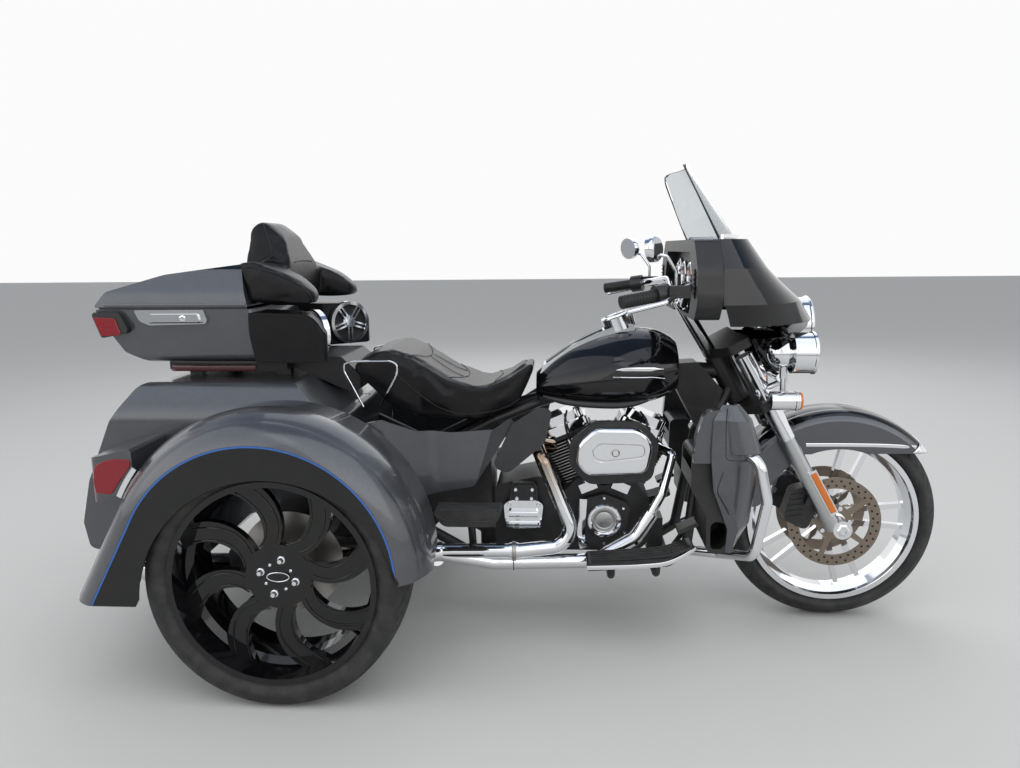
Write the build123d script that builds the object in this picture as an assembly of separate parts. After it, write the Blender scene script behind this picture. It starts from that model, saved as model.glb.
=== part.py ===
from build123d import *
import os
from math import sin, cos, tan, radians

# A full-dress touring trike: V-twin engine, fork-mounted fairing, two wide rear wheels
# under round fenders, a rear luggage body and a lidded top trunk with a backrest.
# Everything is drawn in millimetres with x = 0 above the rear axle, +X forward, +Y left,
# +Z up and z = 0 on the ground, and moved at export to the middle of the overall length.

# Overall layout
WHEELBASE = 1670.0
REAR_REACH = 680.0
PANEL = 4.0
GAP = 5.0
SEAT_GAP = 0.3
FIT = 0.05

# Wheels and tyres
FRONT_TYRE_R = 345.0
FRONT_TYRE_W = 130.0
FRONT_LIP_R = 277.0
FRONT_RIM_W = 110.0
REAR_TYRE_R = 360.0
REAR_TYRE_W = 255.0
REAR_LIP_R = 286.5
REAR_RIM_W = 244.0
REAR_WHEEL_Y = 560.0
LIP_HEIGHT = 10.0
RIM_WALL = 6.0
RIM_DROP = 18.0
SPOKE_DISH = 62.0
SPOKE_THICK = 24.0
FRONT_SPOKES = 5
REAR_SPOKES = 8
REAR_SPOKE_PHASE = 16.0
FRONT_AXLE_R = 12.5
FRONT_HUB_R = 38.0
ROTOR_R = 150.0
ROTOR_RING = 36.0
ROTOR_Y = 72.0
ROTOR_THICK = 5.0
REAR_SHAFT_R = 22.0
REAR_HUB_R = 72.0
REAR_DISC_R = 148.0
REAR_DISC_Y = 504.0
REAR_DISC_THICK = 8.0

# Steering
RAKE = 28.8
STEER_GROUND_X = 1769.0
STEM_R = 17.0
NECK_R = 36.0
NECK_LOW_Z = 742.0
NECK_HIGH_Z = 890.0
FORK_OFFSET = 62.0
FORK_Y = 130.0
FORK_TUBE_R = 28.0
FORK_LEG_R = 25.0
FORK_COVER_Z = 640.0
FORK_TOP_Z = 905.0
CLAMP_THICK = 30.0
BAR_X = 1158.0
BAR_Z = 1062.0
BAR_R = 12.5
HEADLAMP_X = 1560.0
HEADLAMP_Z = 985.0
HEADLAMP_R = 92.0
HEADLAMP_DOME = 20.0
LAMP_Y = 205.0

# Fender on the front wheel
FRONT_FENDER_R = 372.0
FRONT_FENDER_HALF = 92.0
FRONT_FENDER_LOW_R = 250.0

# Rear fenders: a round crown on a circle round FENDER_C, with a flat outer face
FENDER_CX = -30.0
FENDER_CZ = 375.0
FENDER_STRIPE_R = 374.0
FENDER_CROWN_R = 450.0
FENDER_FACE_Y = 704.0
FENDER_CROWN_Y = 560.0
FENDER_INNER_Y = 400.3
FENDER_OPEN_R = 355.0
FENDER_OPEN_Z = 302.0
FENDER_SWEEP = 152.0
FENDER_TAIL_Z = 303.0
FENDER_NOSE_Z = 373.0

# Engine
CRANK_X = 914.0
CRANK_Z = 350.0
VEE_HALF = 22.5
BARREL_R = 60.0
FIN_W = 172.0
FIN_GROWTH = 2.4
FIN_D = 150.0
FIN_THICK = 3.5
FIN_PITCH = 10.0
FIN_COUNT = 15
FIN_START = 148.0
HEAD_END = 312.0
ROCKER_H = 64.0
CASE_HALF = 108.0
AIR_Y = 190.0
PIPE_R = 23.0
TIP_R = 40.0

# Folding passenger footboards
PILLION_X = 492.0
PILLION_Y = -288.0
PILLION_Z = 448.0
PILLION_PIN = 72.0

# Rear luggage body and top trunk
BODY_HALF = 400.0
HATCH_HALF = 285.0
HATCH_LOW_Z = 490.0
HATCH_HIGH_Z = 765.0
HATCH_HINGE_X = -674.0
HATCH_HINGE_Z = 483.0
HATCH_HINGES = (-200.0, 200.0)
HATCH_PIN = 60.0
TRUNK_HALF = 300.0
TRUNK_SEAM_Z = 1070.0
TRUNK_WALL = 4.0
TRUNK_HINGE_Y = 311.5
TRUNK_HINGE_Z = 1072.0
TRUNK_HINGES = (-520.0, -280.0)
TRUNK_PIN = 60.0


def outline(rows):
    """Closed flat face in the XY plane from rows of (x, y, corner radius).

    Each corner becomes a tangent arc, limited so that two arcs share their edge.
    """
    points = [Vector(row[0], row[1]) for row in rows]
    count = len(points)
    edges = [points[(i + 1) % count] - points[i] for i in range(count)]
    turns = [radians(edges[i - 1].get_angle(edges[i])) for i in range(count)]
    reach = [rows[i][2] * tan(turns[i] / 2) for i in range(count)]
    for i in range(count):
        room = edges[i].length * 0.98
        wanted = reach[i] + reach[(i + 1) % count]
        if wanted > room:
            reach[i] *= room / wanted
            reach[(i + 1) % count] *= room / wanted
    lines = []
    starts = [points[i] - edges[i - 1].normalized() * reach[i] for i in range(count)]
    ends = [points[i] + edges[i].normalized() * reach[i] for i in range(count)]
    for i in range(count):
        if reach[i] > 0.01:
            radius = reach[i] / tan(turns[i] / 2)
            middle = points[i] * 2 - starts[i] - ends[i]
            depth = radius / cos(turns[i] / 2) - radius
            lines.append(ThreePointArc(starts[i], points[i] - middle.normalized() * depth, ends[i]))
        lines.append(Line(ends[i], starts[(i + 1) % count]))
    return make_face(lines)


def side_slab(rows, y_low, y_high):
    """Side outline in (x, z, corner radius) rows, carried from y_low to y_high."""
    plane = Plane(origin=(0, y_high, 0), x_dir=(1, 0, 0), z_dir=(0, -1, 0))
    return extrude(plane * outline(rows), amount=y_high - y_low)


def end_slab(rows, x_low, x_high):
    """Outline seen from the end in (y, z, corner radius) rows, carried along X."""
    plane = Plane(origin=(x_low, 0, 0), x_dir=(0, 1, 0), z_dir=(1, 0, 0))
    return extrude(plane * outline(rows), amount=x_high - x_low)


def top_slab(rows, z_low, z_high):
    """Plan outline in (x, y, corner radius) rows, carried from z_low to z_high."""
    return extrude(Plane.XY.offset(z_low) * outline(rows), amount=z_high - z_low)


def both_sides(rows):
    """Half outline in (y, z, radius) rows for y < 0, doubled to the left side."""
    return rows + [(-row[0], row[1], row[2]) for row in reversed(rows)]


def tube(points, radius, corner):
    """Round bar of one radius along straight runs joined by arcs."""
    if len(points) == 2:
        path = Line(*points)
    else:
        corners = corner if isinstance(corner, list) else [corner] * (len(points) - 2)
        path = FilletPolyline(*points, radius=corners)
    start = Plane(origin=path @ 0, z_dir=path % 0)
    return sweep(start * Circle(radius), path=path)


def ring_y(outer, inner, y_low, y_high):
    """Flat ring round the Y axis at the origin."""
    plane = Plane(origin=(0, y_high, 0), x_dir=(1, 0, 0), z_dir=(0, -1, 0))
    face = Circle(outer)
    if inner > 0:
        face = face - Circle(inner)
    return extrude(plane * face, amount=y_high - y_low)


def box_at(x_low, x_high, y_low, y_high, z_low, z_high):
    """Plain block between its corner coordinates."""
    size = (x_high - x_low, y_high - y_low, z_high - z_low)
    middle = ((x_low + x_high) / 2, (y_low + y_high) / 2, (z_low + z_high) / 2)
    return Pos(*middle) * Box(*size)


def left_of(shape):
    """Mirror image on the left side."""
    return mirror(shape, about=Plane.XZ)


def pair(shape):
    """A right-hand piece and its mirror image as two loose solids."""
    return Compound(children=[*shape.solids(), *left_of(shape).solids()])


def group(*shapes):
    """Loose solids that share one node."""
    return Compound(children=[solid for shape in shapes for solid in shape.solids()])


def biggest(shape):
    """The largest solid of a trimmed piece."""
    return shape.solids().sort_by(SortBy.VOLUME)[-1]


def steer_x(z):
    """Place of the steering axis at height z."""
    return STEER_GROUND_X - tan(radians(RAKE)) * z


def fork_x(z):
    """Place of the fork legs' line at height z, parallel to the steering axis."""
    return steer_x(z) + FORK_OFFSET / cos(radians(RAKE))


def hinge_ends(length, pin_r):
    """Hinge pin along X at the origin with a knuckle at each end."""
    along = Rot(0, 90, 0)
    ends = along * Cylinder(pin_r, length)
    for side in (-1, 1):
        ends += Pos(side * length / 3, 0, 0) * along * Cylinder(pin_r * 1.7, length / 3 - 1)
    return ends


def hinge_eye(length, pin_r):
    """Bored eye that turns on the pin between its two knuckles."""
    along = Rot(0, 90, 0)
    return along * Cylinder(pin_r * 1.7, length / 3 - 0.4) - along * Cylinder(pin_r + FIT, length / 3 + 2)


# Tyres

def make_tyre(outer_r, lip_r, width, rim_width, shoulder_drop):
    """Ring with a crowned tread and bulged sidewalls, seated between the rim's lips."""
    half = width / 2
    bead_r = lip_r - LIP_HEIGHT + SEAT_GAP
    bead_half = rim_width / 2 - 8
    shoulder = outer_r - shoulder_drop
    wall_r = (lip_r + shoulder) / 2
    right = [
        Line((bead_r, -bead_half), (lip_r + 2, -bead_half)),
        ThreePointArc((lip_r + 2, -bead_half), (wall_r, -half), (shoulder, -half * 0.9)),
    ]
    left = [
        ThreePointArc((shoulder, half * 0.9), (wall_r, half), (lip_r + 2, bead_half)),
        Line((lip_r + 2, bead_half), (bead_r, bead_half)),
    ]
    tread = ThreePointArc((shoulder, -half * 0.9), (outer_r, 0), (shoulder, half * 0.9))
    seat = Line((bead_r, bead_half), (bead_r, -bead_half))
    return revolve(make_face(right + [tread] + left + [seat]), axis=Axis.Y)


# Wheels

def rim_barrel(lip_r, width, drop_half):
    """Rim ring: two lips, two bead seats and a drop centre, all of one wall."""
    half = width / 2
    seat = lip_r - LIP_HEIGHT
    well = seat - RIM_DROP
    outer = [
        (lip_r, -half), (lip_r, -half + 5), (seat, -half + 7), (seat, -drop_half - 14),
        (well, -drop_half), (well, drop_half), (seat, drop_half + 14), (seat, half - 7),
        (lip_r, half - 5), (lip_r, half),
    ]
    inner = [
        (seat - RIM_WALL, half), (seat - RIM_WALL, drop_half + 12), (well - RIM_WALL, drop_half - 2),
        (well - RIM_WALL, -drop_half + 2), (seat - RIM_WALL, -drop_half - 12), (seat - RIM_WALL, -half),
    ]
    return revolve(make_face(Polyline(*outer, *inner, close=True)), axis=Axis.Y)


def make_front_rim():
    """Cast rim with five pairs of bars between a bored hub and the barrel."""
    inner_r = FRONT_LIP_R - LIP_HEIGHT - RIM_DROP - RIM_WALL
    bar_half = 11.0
    hub_half = ROTOR_Y - ROTOR_THICK / 2
    wheel = rim_barrel(FRONT_LIP_R, FRONT_RIM_W, 22)
    wheel += ring_y(FRONT_HUB_R, 0, -hub_half, hub_half)
    for side in (-1, 1):
        rows = [
            (FRONT_HUB_R - 8, side * 8, 0), (FRONT_HUB_R - 6, side * 30, 0),
            (inner_r + 2, side * 46, 0), (inner_r + 2, side * 30, 0),
        ]
        bar = side_slab(rows, -bar_half, bar_half)
        for turn in range(FRONT_SPOKES):
            wheel += Rot(0, turn * 360 / FRONT_SPOKES, 0) * bar
    bore = ring_y(FRONT_AXLE_R + FIT, 0, -hub_half - 1, hub_half + 1)
    return wheel - bore


def make_rear_rim():
    """Deep-dish wheel: eight curved blades near the outer lip, bolted hub face."""
    inner_r = REAR_LIP_R - LIP_HEIGHT - RIM_WALL
    face_y = -REAR_RIM_W / 2 + SPOKE_DISH
    back_y = face_y + SPOKE_THICK
    wheel = rim_barrel(REAR_LIP_R, REAR_RIM_W, 30)
    hub_r = 92.0

    def polar(radius, angle):
        return (radius * cos(radians(angle)), radius * sin(radians(angle)))

    edges = [
        ThreePointArc(polar(hub_r - 8, -19), polar(180, -20), polar(inner_r + 3, -4)),
        ThreePointArc(polar(inner_r + 3, -4), polar(inner_r + 3, 5), polar(inner_r + 3, 14)),
        ThreePointArc(polar(inner_r + 3, 14), polar(165, -2), polar(hub_r - 8, 19)),
        ThreePointArc(polar(hub_r - 8, 19), polar(hub_r - 8, 0), polar(hub_r - 8, -19)),
    ]
    plane = Plane(origin=(0, back_y, 0), x_dir=(1, 0, 0), z_dir=(0, -1, 0))
    blade = extrude(plane * make_face(edges), amount=SPOKE_THICK)
    wheel += ring_y(hub_r, 0, face_y, back_y)
    for turn in range(REAR_SPOKES):
        wheel += Rot(0, turn * 360 / REAR_SPOKES - REAR_SPOKE_PHASE, 0) * blade
    return wheel


def make_front_rotors():
    """Two brake rotors, each a ring on five arms from a bolted centre."""
    half = ROTOR_THICK / 2
    inner = ROTOR_R - ROTOR_RING
    rotor = ring_y(ROTOR_R, inner, -half, half) + ring_y(58, 30, -half, half)
    arm = side_slab([(50, -11, 0), (inner + 4, -8, 0), (inner + 4, 8, 0), (50, 11, 0)], -half, half)
    for turn in range(5):
        rotor += Rot(0, turn * 72 + 36, 0) * arm
    return group(Pos(0, -ROTOR_Y, 0) * rotor, Pos(0, ROTOR_Y, 0) * rotor)


def make_rear_hub():
    """Right drive shaft with the wheel flange, its cap and the brake disc, one piece."""
    flange_y = -(REAR_WHEEL_Y + REAR_RIM_W / 2 - SPOKE_DISH - SPOKE_THICK)
    hub = ring_y(REAR_SHAFT_R, 0, flange_y, -330)
    hub += ring_y(REAR_HUB_R, 0, flange_y, flange_y + 14)
    hub += ring_y(52, 0, flange_y, -REAR_DISC_Y + REAR_DISC_THICK / 2)
    disc_half = REAR_DISC_THICK / 2
    hub += ring_y(REAR_DISC_R, 0, -REAR_DISC_Y - disc_half, -REAR_DISC_Y + disc_half)
    return hub


# Rear axle

def make_rear_axle():
    """Axle housing with a belt-driven centre case, bored ends, calipers and shocks."""
    end_y = REAR_DISC_Y - 24
    housing = ring_y(44, 0, -end_y, end_y)
    housing += ring_y(96, 0, -78, 78)
    housing += ring_y(64, 0, -end_y, -end_y + 40) + ring_y(64, 0, end_y - 40, end_y)
    bore_depth = end_y - 320
    for side in (-1, 1):
        bore = ring_y(REAR_SHAFT_R + FIT, 0, -bore_depth / 2 - 5, bore_depth / 2 + 5)
        housing -= Pos(0, side * (end_y - bore_depth / 2 + 5), 0) * bore
    caliper = side_slab([(-175, -46, 18), (-108, -46, 18), (-108, 46, 18), (-175, 46, 18)], -530, -478)
    slot_half = REAR_DISC_THICK / 2 + GAP
    caliper -= ring_y(REAR_DISC_R + GAP, 0, -REAR_DISC_Y - slot_half, -REAR_DISC_Y + slot_half)
    caliper += side_slab([(-140, -24, 0), (-40, -34, 0), (-40, 34, 0), (-140, 24, 0)], -end_y, -end_y + 12)
    housing += caliper + left_of(caliper)
    shock = tube([(-70, -290, 10), (-150, -262, 330)], 30, 0)
    housing += shock + left_of(shock)
    lug = side_slab([(-110, -30, 0), (30, -30, 0), (0, 60, 0), (-100, 60, 0)], -310, -270)
    housing += lug + left_of(lug)
    return biggest(Pos(0, 0, REAR_TYRE_R) * housing - make_frame())


# Frame

ENGINE_PLATES = [
    # x low, x high, z low, z high of the plates between the cradle and the engine
    (500.0, 556.0 - SEAT_GAP, 222.0, 300.0),
    (CRANK_X + 150.0 + SEAT_GAP, 1116.0, 222.0, 340.0),
]


NECK_GUSSET = [
    # x, z, corner radius of the closed gusset between the backbone and the neck
    (1146.0, 790.0, 6.0), (1150.0, 868.0, 16.0), (1216.0, 872.0, 16.0), (1300.0, 780.0, 10.0),
    (1262.0, 660.0, 10.0), (1226.0, 640.0, 10.0),
]
BATTERY_BOX = (318.0, 546.0, -118.0, 118.0, 344.0, 596.0)


def make_frame():
    """Tubular frame: bored neck, backbone, twin cradle tubes, rear rails and plates."""
    rake = radians(RAKE)
    low = (steer_x(NECK_LOW_Z), 0, NECK_LOW_Z)
    high = (steer_x(NECK_HIGH_Z), 0, NECK_HIGH_Z)
    backbone = [(steer_x(835), 0, 835), (1050, 0, 850), (700, 0, 740), (560, 0, 700)]
    frame = tube([low, high], NECK_R, 0) + tube(backbone, 26, 120)
    cradle = [
        (steer_x(790) - 4, 16, 790), (1232, 70, 620), (1180, 132, 260), (1120, 132, 222),
        (520, 132, 222), (330, 132, 330), (300, 132, 560), (560, 90, 690), (700, 20, 735),
    ]
    lower_rail = [(330, 132, 300), (60, 190, 300), (-40, 230, 340)]
    upper_rail = [(300, 132, 560), (100, 180, 640), (-190, 262, 640)]
    strut = [(-40, 180, 340), (-170, 262, 640)]
    runs = [(cradle, 17, 38), (lower_rail, 20, 60), (upper_rail, 18, 60), (strut, 16, 0)]
    for points, radius, corner in runs:
        for side in (-1, 1):
            frame += tube([(x, side * y, z) for x, y, z in points], radius, corner)
    for x, z in ((1120, 222), (520, 222), (300, 545)):
        frame += tube([(x, -132, z), (x, 132, z)], 16, 0)
    frame += tube([(-190, -262, 640), (-190, 262, 640)], 18, 0)
    ends = hinge_ends(PILLION_PIN, 5)
    lug_half = PILLION_PIN / 2 - 0.5
    lug = box_at(-lug_half, lug_half, 0, 30, -44, 5) - box_at(-13, 13, -20, 20, -20, 20)
    for side in (-1, 1):
        post = [(PILLION_X, side * 132, 222), (PILLION_X, side * 210, 300), (PILLION_X, side * 262, 410)]
        frame += tube(post, 12, 40)
        seat = Pos(PILLION_X, side * abs(PILLION_Y), PILLION_Z)
        frame += seat * (ends + (lug if side < 0 else left_of(lug)))
    for x_low, x_high, z_low, z_high in ENGINE_PLATES:
        frame += box_at(x_low, x_high, -40, 40, z_low, z_high)
    frame += side_slab(NECK_GUSSET, -48, 48)
    frame += box_at(*BATTERY_BOX)
    frame += box_at(1054, 1090, -20, 20, 850, 892 - SEAT_GAP)
    below = (low[0] + sin(rake) * 9, 0, low[2] - cos(rake) * 9)
    above = (high[0] - sin(rake) * 9, 0, high[2] + cos(rake) * 9)
    return frame - tube([below, above], STEM_R + FIT, 0)


# Fork

def make_triple_clamps():
    """Upper and lower fork clamps on the steering stem, with the two handlebar risers."""
    rake = radians(RAKE)
    across = (cos(rake), 0, sin(rake))
    along = (-sin(rake), 0, cos(rake))
    stem_low = (steer_x(NECK_LOW_Z) + 30 * sin(rake), 0, NECK_LOW_Z - 30 * cos(rake))
    stem_high = (steer_x(NECK_HIGH_Z) - 34 * sin(rake), 0, NECK_HIGH_Z + 34 * cos(rake))
    clamps = tube([stem_low, stem_high], STEM_R, 0)
    back = FORK_OFFSET - 34
    front = FORK_OFFSET + 36
    wide = FORK_Y + 36
    plate = [
        (-32, -34, 12), (-32, 34, 12), (back, wide, 16), (front, wide, 16),
        (FORK_OFFSET + 30, 0, 60), (front, -wide, 16), (back, -wide, 16),
    ]
    for z, shift in ((NECK_LOW_Z, -GAP - CLAMP_THICK), (NECK_HIGH_Z, GAP)):
        plane = Plane(origin=(steer_x(z), 0, z), x_dir=across, z_dir=along)
        clamps += extrude(plane.offset(shift) * outline(plate), amount=CLAMP_THICK)
    for side in (-1, 1):
        clamps += tube([(steer_x(905) - 14, side * 46, 905), (BAR_X - 5, side * 46, BAR_Z + 12)], 18, 0)
    high_z = FORK_TOP_Z + 30
    leg = tube([(fork_x(high_z), -FORK_Y, high_z), (fork_x(600), -FORK_Y, 600)], FORK_TUBE_R + SEAT_GAP, 0)
    bar = tube([(BAR_X, -90, BAR_Z), (BAR_X, 90, BAR_Z)], BAR_R + SEAT_GAP, 0)
    return clamps - leg - left_of(leg) - bar


def make_fork():
    """Two fork legs with covers, joined at the bottom by the front axle."""
    rake = radians(RAKE)
    axle_z = FRONT_TYRE_R
    top = (fork_x(FORK_TOP_Z), FORK_TOP_Z)
    cover = (fork_x(FORK_COVER_Z), FORK_COVER_Z)
    foot = (fork_x(axle_z) + 2 * sin(rake), axle_z - 2 * cos(rake))
    leg = tube([(cover[0], -FORK_Y, cover[1]), (foot[0], -FORK_Y, foot[1])], FORK_LEG_R, 0)
    leg += tube([(top[0], -FORK_Y, top[1]), (cover[0], -FORK_Y, cover[1])], FORK_TUBE_R, 0)
    boss = ring_y(30, 0, -FORK_Y - 26, -FORK_Y + 26)
    leg += Pos(WHEELBASE, 0, axle_z) * boss
    fork = leg + left_of(leg)
    fork += Pos(WHEELBASE, 0, axle_z) * ring_y(FRONT_AXLE_R, 0, -FORK_Y - 30, FORK_Y + 30)
    return fork


def make_front_calipers():
    """Two fixed calipers bolted behind the fork legs, slotted over the rotors."""
    slot_half = ROTOR_THICK / 2 + GAP
    rows = [(-178, 20, 20), (-98, -20, 20), (-70, 60, 20), (-98, 132, 24), (-150, 120, 24)]
    body = side_slab(rows, -108, -54)
    body -= Pos(0, -ROTOR_Y, 0) * ring_y(ROTOR_R + GAP, 0, -slot_half, slot_half)
    arm = side_slab([(-120, 60, 8), (-82, 84, 8), (-60, 128, 8), (-100, 120, 8)], -130, -104)
    leg = tube([(fork_x(300), -FORK_Y, 300), (fork_x(600), -FORK_Y, 600)], FORK_LEG_R + SEAT_GAP, 0)
    return pair(biggest(Pos(WHEELBASE, 0, FRONT_TYRE_R) * (body + arm) - leg))


def make_front_fender():
    """Deep front fender: a U section turned round the axle and trimmed in side view."""
    half = FRONT_FENDER_HALF
    outer = [
        (FRONT_FENDER_LOW_R, -half, 0), (FRONT_FENDER_R - 30, -half, 0), (FRONT_FENDER_R, -half + 50, 0),
        (FRONT_FENDER_R + 4, 0, 0), (FRONT_FENDER_R, half - 50, 0), (FRONT_FENDER_R - 30, half, 0),
        (FRONT_FENDER_LOW_R, half, 0), (FRONT_FENDER_LOW_R, half - PANEL, 0),
        (FRONT_FENDER_R - 32, half - PANEL, 0), (FRONT_FENDER_R - PANEL, half - 52, 0),
        (FRONT_FENDER_R + 4 - PANEL, 0, 0), (FRONT_FENDER_R - PANEL, -half + 52, 0),
        (FRONT_FENDER_R - 32, -half + PANEL, 0), (FRONT_FENDER_LOW_R, -half + PANEL, 0),
    ]
    section = [
        ThreePointArc(outer[1][:2], (FRONT_FENDER_R - 9, -half + 14), outer[2][:2]),
        ThreePointArc(outer[2][:2], outer[3][:2], outer[4][:2]),
        ThreePointArc(outer[4][:2], (FRONT_FENDER_R - 9, half - 14), outer[5][:2]),
        Line(outer[5][:2], outer[6][:2]), Line(outer[6][:2], outer[7][:2]), Line(outer[7][:2], outer[8][:2]),
        ThreePointArc(outer[8][:2], (FRONT_FENDER_R - 12, half - 17), outer[9][:2]),
        ThreePointArc(outer[9][:2], outer[10][:2], outer[11][:2]),
        ThreePointArc(outer[11][:2], (FRONT_FENDER_R - 12, -half + 17), outer[12][:2]),
        Line(outer[12][:2], outer[13][:2]), Line(outer[13][:2], outer[0][:2]),
        Line(outer[0][:2], outer[1][:2]),
    ]
    hoop = revolve(make_face(section), axis=Axis.Y)
    keep = side_slab([
        (-420, 50, 0), (-250, 55, 30), (-215, 120, 60), (-130, 232, 40), (310, 238, 6),
        (330, 300, 0), (120, 470, 0), (-420, 470, 0),
    ], -200, 200)
    fender = Pos(WHEELBASE, 0, FRONT_TYRE_R) * (hoop & keep)
    tab = box_at(fork_x(600) - 18, fork_x(600) + 18, -FORK_Y + FORK_LEG_R + SEAT_GAP, -half + 2, 586, 614)
    return fender + tab + left_of(tab)


# Fairing and cockpit

FAIRING_ROWS = [
    # z, nose x, edge x, half width
    (1262.0, 1332.0, 1222.0, 318.0),
    (1180.0, 1392.0, 1222.0, 392.0),
    (1080.0, 1520.0, 1222.0, 402.0),
    (1016.0, 1566.0, 1228.0, 350.0),
    (960.0, 1564.0, 1272.0, 150.0),
    (848.0, 1512.0, 1420.0, 96.0),
]


def fairing_solid(inset):
    """Blunt batwing body lofted through plan sections of an arc and a straight back."""
    faces = []
    for z, nose, edge, half in FAIRING_ROWS:
        front = nose - inset
        wide = half - inset
        back = edge - (20 if inset else 0)
        shoulder = (back + (front - back) * 0.42, wide * 0.94)
        bow = Spline((back, -wide), (shoulder[0], -shoulder[1]), (front, 0), shoulder, (back, wide))
        faces.append(Pos(0, 0, z) * make_face([bow, Line((back, wide), (back, -wide))]))
    return loft(faces, ruled=True)


def make_cowl():
    """Right lower cowl: a curved panel that hangs from the shell beside the fork top."""
    side = side_slab([
        (1262, 1010, 10), (1470, 1010, 10), (1440, 900, 40), (1404, 862, 20), (1372, 868, 30),
        (1300, 940, 60),
    ], -340, -140)
    band = top_slab([
        (1250, -232, 10), (1330, -226, 120), (1420, -206, 60), (1462, -150, 10), (1456, -148, 0),
        (1415, -201, 56), (1327, -220, 116), (1250, -226, 0),
    ], 800, 1040)
    return side & band


def make_fairing_outer():
    """Outer fairing: hollow batwing shell, open to the rider's side and at the headlamp."""
    shell = fairing_solid(0) - Pos(0, 0, -PANEL) * fairing_solid(PANEL) - fork_room()
    cowl = make_cowl() - Pos(0, 0, PANEL) * fairing_solid(PANEL)
    lamp_hole = Pos(HEADLAMP_X, 0, HEADLAMP_Z) * Rot(0, 90, 0) * Cylinder(HEADLAMP_R + SEAT_GAP, 260)
    return biggest(shell + cowl + left_of(cowl) - lamp_hole)


def fork_room():
    """Tilted block round the fork tops and the upper clamp, which the fairing clears."""
    rake = radians(RAKE)
    across = (cos(rake), 0, sin(rake))
    along = (-sin(rake), 0, cos(rake))
    plane = Plane(origin=(steer_x(NECK_HIGH_Z), 0, NECK_HIGH_Z), x_dir=across, z_dir=along)
    depth = FORK_OFFSET + 42
    front = plane.offset(-160) * Pos(depth / 2 - 30, 0) * Rectangle(depth + 60, 2 * FORK_Y + 90)
    return extrude(front, amount=160 + GAP + CLAMP_THICK + SEAT_GAP)


def make_fairing_inner():
    """Inner fairing: dash with a hooded gauge recess and two air vents, closing the shell."""
    rows = both_sides([
        (-150, 1034, 30), (-350, 1034, 30), (-401, 1088, 50), (-391, 1180, 60), (-317, 1262, 30),
    ])
    dash = end_slab(rows, 1150, 1222 - SEAT_GAP)
    recess = end_slab(both_sides([(-250, 1044, 20), (-306, 1120, 30), (-250, 1226, 30)]), 1120, 1186)
    slot_half = 46 + 18 + SEAT_GAP
    slot = end_slab(both_sides([(-slot_half, 900, 0), (-slot_half, 1100, 20)]), 1100, 1240)
    vent = end_slab([(-372, 1090, 16), (-372, 1170, 16), (-330, 1190, 16), (-330, 1100, 16)], 1140, 1160)
    return dash - recess - slot - vent - left_of(vent)


def make_windshield():
    """Curved windshield: a bent sheet leaning back from the fairing's top edge."""
    faces = []
    for z, front, edge, half in ((1262.0 + SEAT_GAP, 1322.0, 1224.0, 300.0), (1486.0, 1170.0, 1128.0, 214.0)):
        thin = PANEL
        sheet = [
            ThreePointArc((edge, -half), (front, 0), (edge, half)), Line((edge, half), (edge - thin, half)),
            ThreePointArc((edge - thin, half), (front - thin, 0), (edge - thin, -half)),
            Line((edge - thin, -half), (edge, -half)),
        ]
        faces.append(Pos(0, 0, z) * make_face(sheet))
    shape = end_slab(both_sides([(-330, 1262, 0), (-316, 1300, 0), (-216, 1486, 90)]), 1000, 1500)
    return loft(faces, ruled=True) & shape


def bar_path(radius):
    """The handlebar's bent run at a given radius."""
    half = [(952, -400, 1092), (1096, -345, 1115), (1152, -238, 1130), (BAR_X, -96, BAR_Z)]
    rows = half + [(x, -y, z) for x, y, z in reversed(half)]
    return tube(rows, radius, [50, 50, 40, 40, 50, 50])


def make_handlebar():
    """Handlebar: one bent tube through the risers with pulled-back ends."""
    return bar_path(BAR_R)


def make_hand_controls():
    """Grip, switch housing, master cylinder and lever on each bar end, one solid a side."""
    start = Vector(952, -400, 1092)
    toward = (Vector(1096, -345, 1115) - start).normalized()
    grip = tube([tuple(start - toward * 14), tuple(start + toward * 100)], 18, 0)
    housing = tube([tuple(start + toward * 92), tuple(start + toward * 132)], 30, 0)
    bore = bar_path(BAR_R + SEAT_GAP) + tube([tuple(start - toward * 1), tuple(start)], BAR_R + SEAT_GAP, 0)
    reservoir = Pos(*(start + toward * 116 + Vector(44, -16, 8))) * Box(58, 36, 34)
    lever = tube([
        tuple(start + toward * 112 + Vector(36, -24, -2)), tuple(start + toward * 66 + Vector(46, -44, -12)),
        tuple(start - toward * 24 + Vector(24, -40, -22)),
    ], 7, 20)
    return pair(biggest(grip + housing + reservoir + lever - bore))


def make_mirrors():
    """Oval mirrors with rounded backs on curved stalks, turned in towards the rider."""
    root = (1098, -352, 1134.1)
    stalk = tube([root, (1098, -352, 1172), (1068, -366, 1216), (1034, -380, 1222)], 5, [14, 14])
    plane = Plane(origin=(1020, -380, 1236), x_dir=(0.38, 0.92, 0), z_dir=(0.92, -0.38, 0.1))
    head = extrude(plane * Ellipse(58, 38), amount=24)
    back = head.faces().sort_by(Axis((0, 0, 0), (0.92, -0.38, 0.1)))[-1]
    return pair(stalk + fillet(back.edges(), 14))


def make_headlamp():
    """Round headlamp in the fairing's nose: chrome bucket and domed lens."""
    dome_r = (HEADLAMP_R ** 2 + HEADLAMP_DOME ** 2) / (2 * HEADLAMP_DOME)
    along = Rot(0, 90, 0)
    dome = Pos(HEADLAMP_DOME - dome_r, 0, 0) * Sphere(dome_r)
    dome = dome & Pos(40, 0, 0) * along * Cylinder(HEADLAMP_R, 84)
    return Pos(HEADLAMP_X, 0, HEADLAMP_Z) * (Pos(-30, 0, 0) * along * Cylinder(HEADLAMP_R, 60) + dome)


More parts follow.
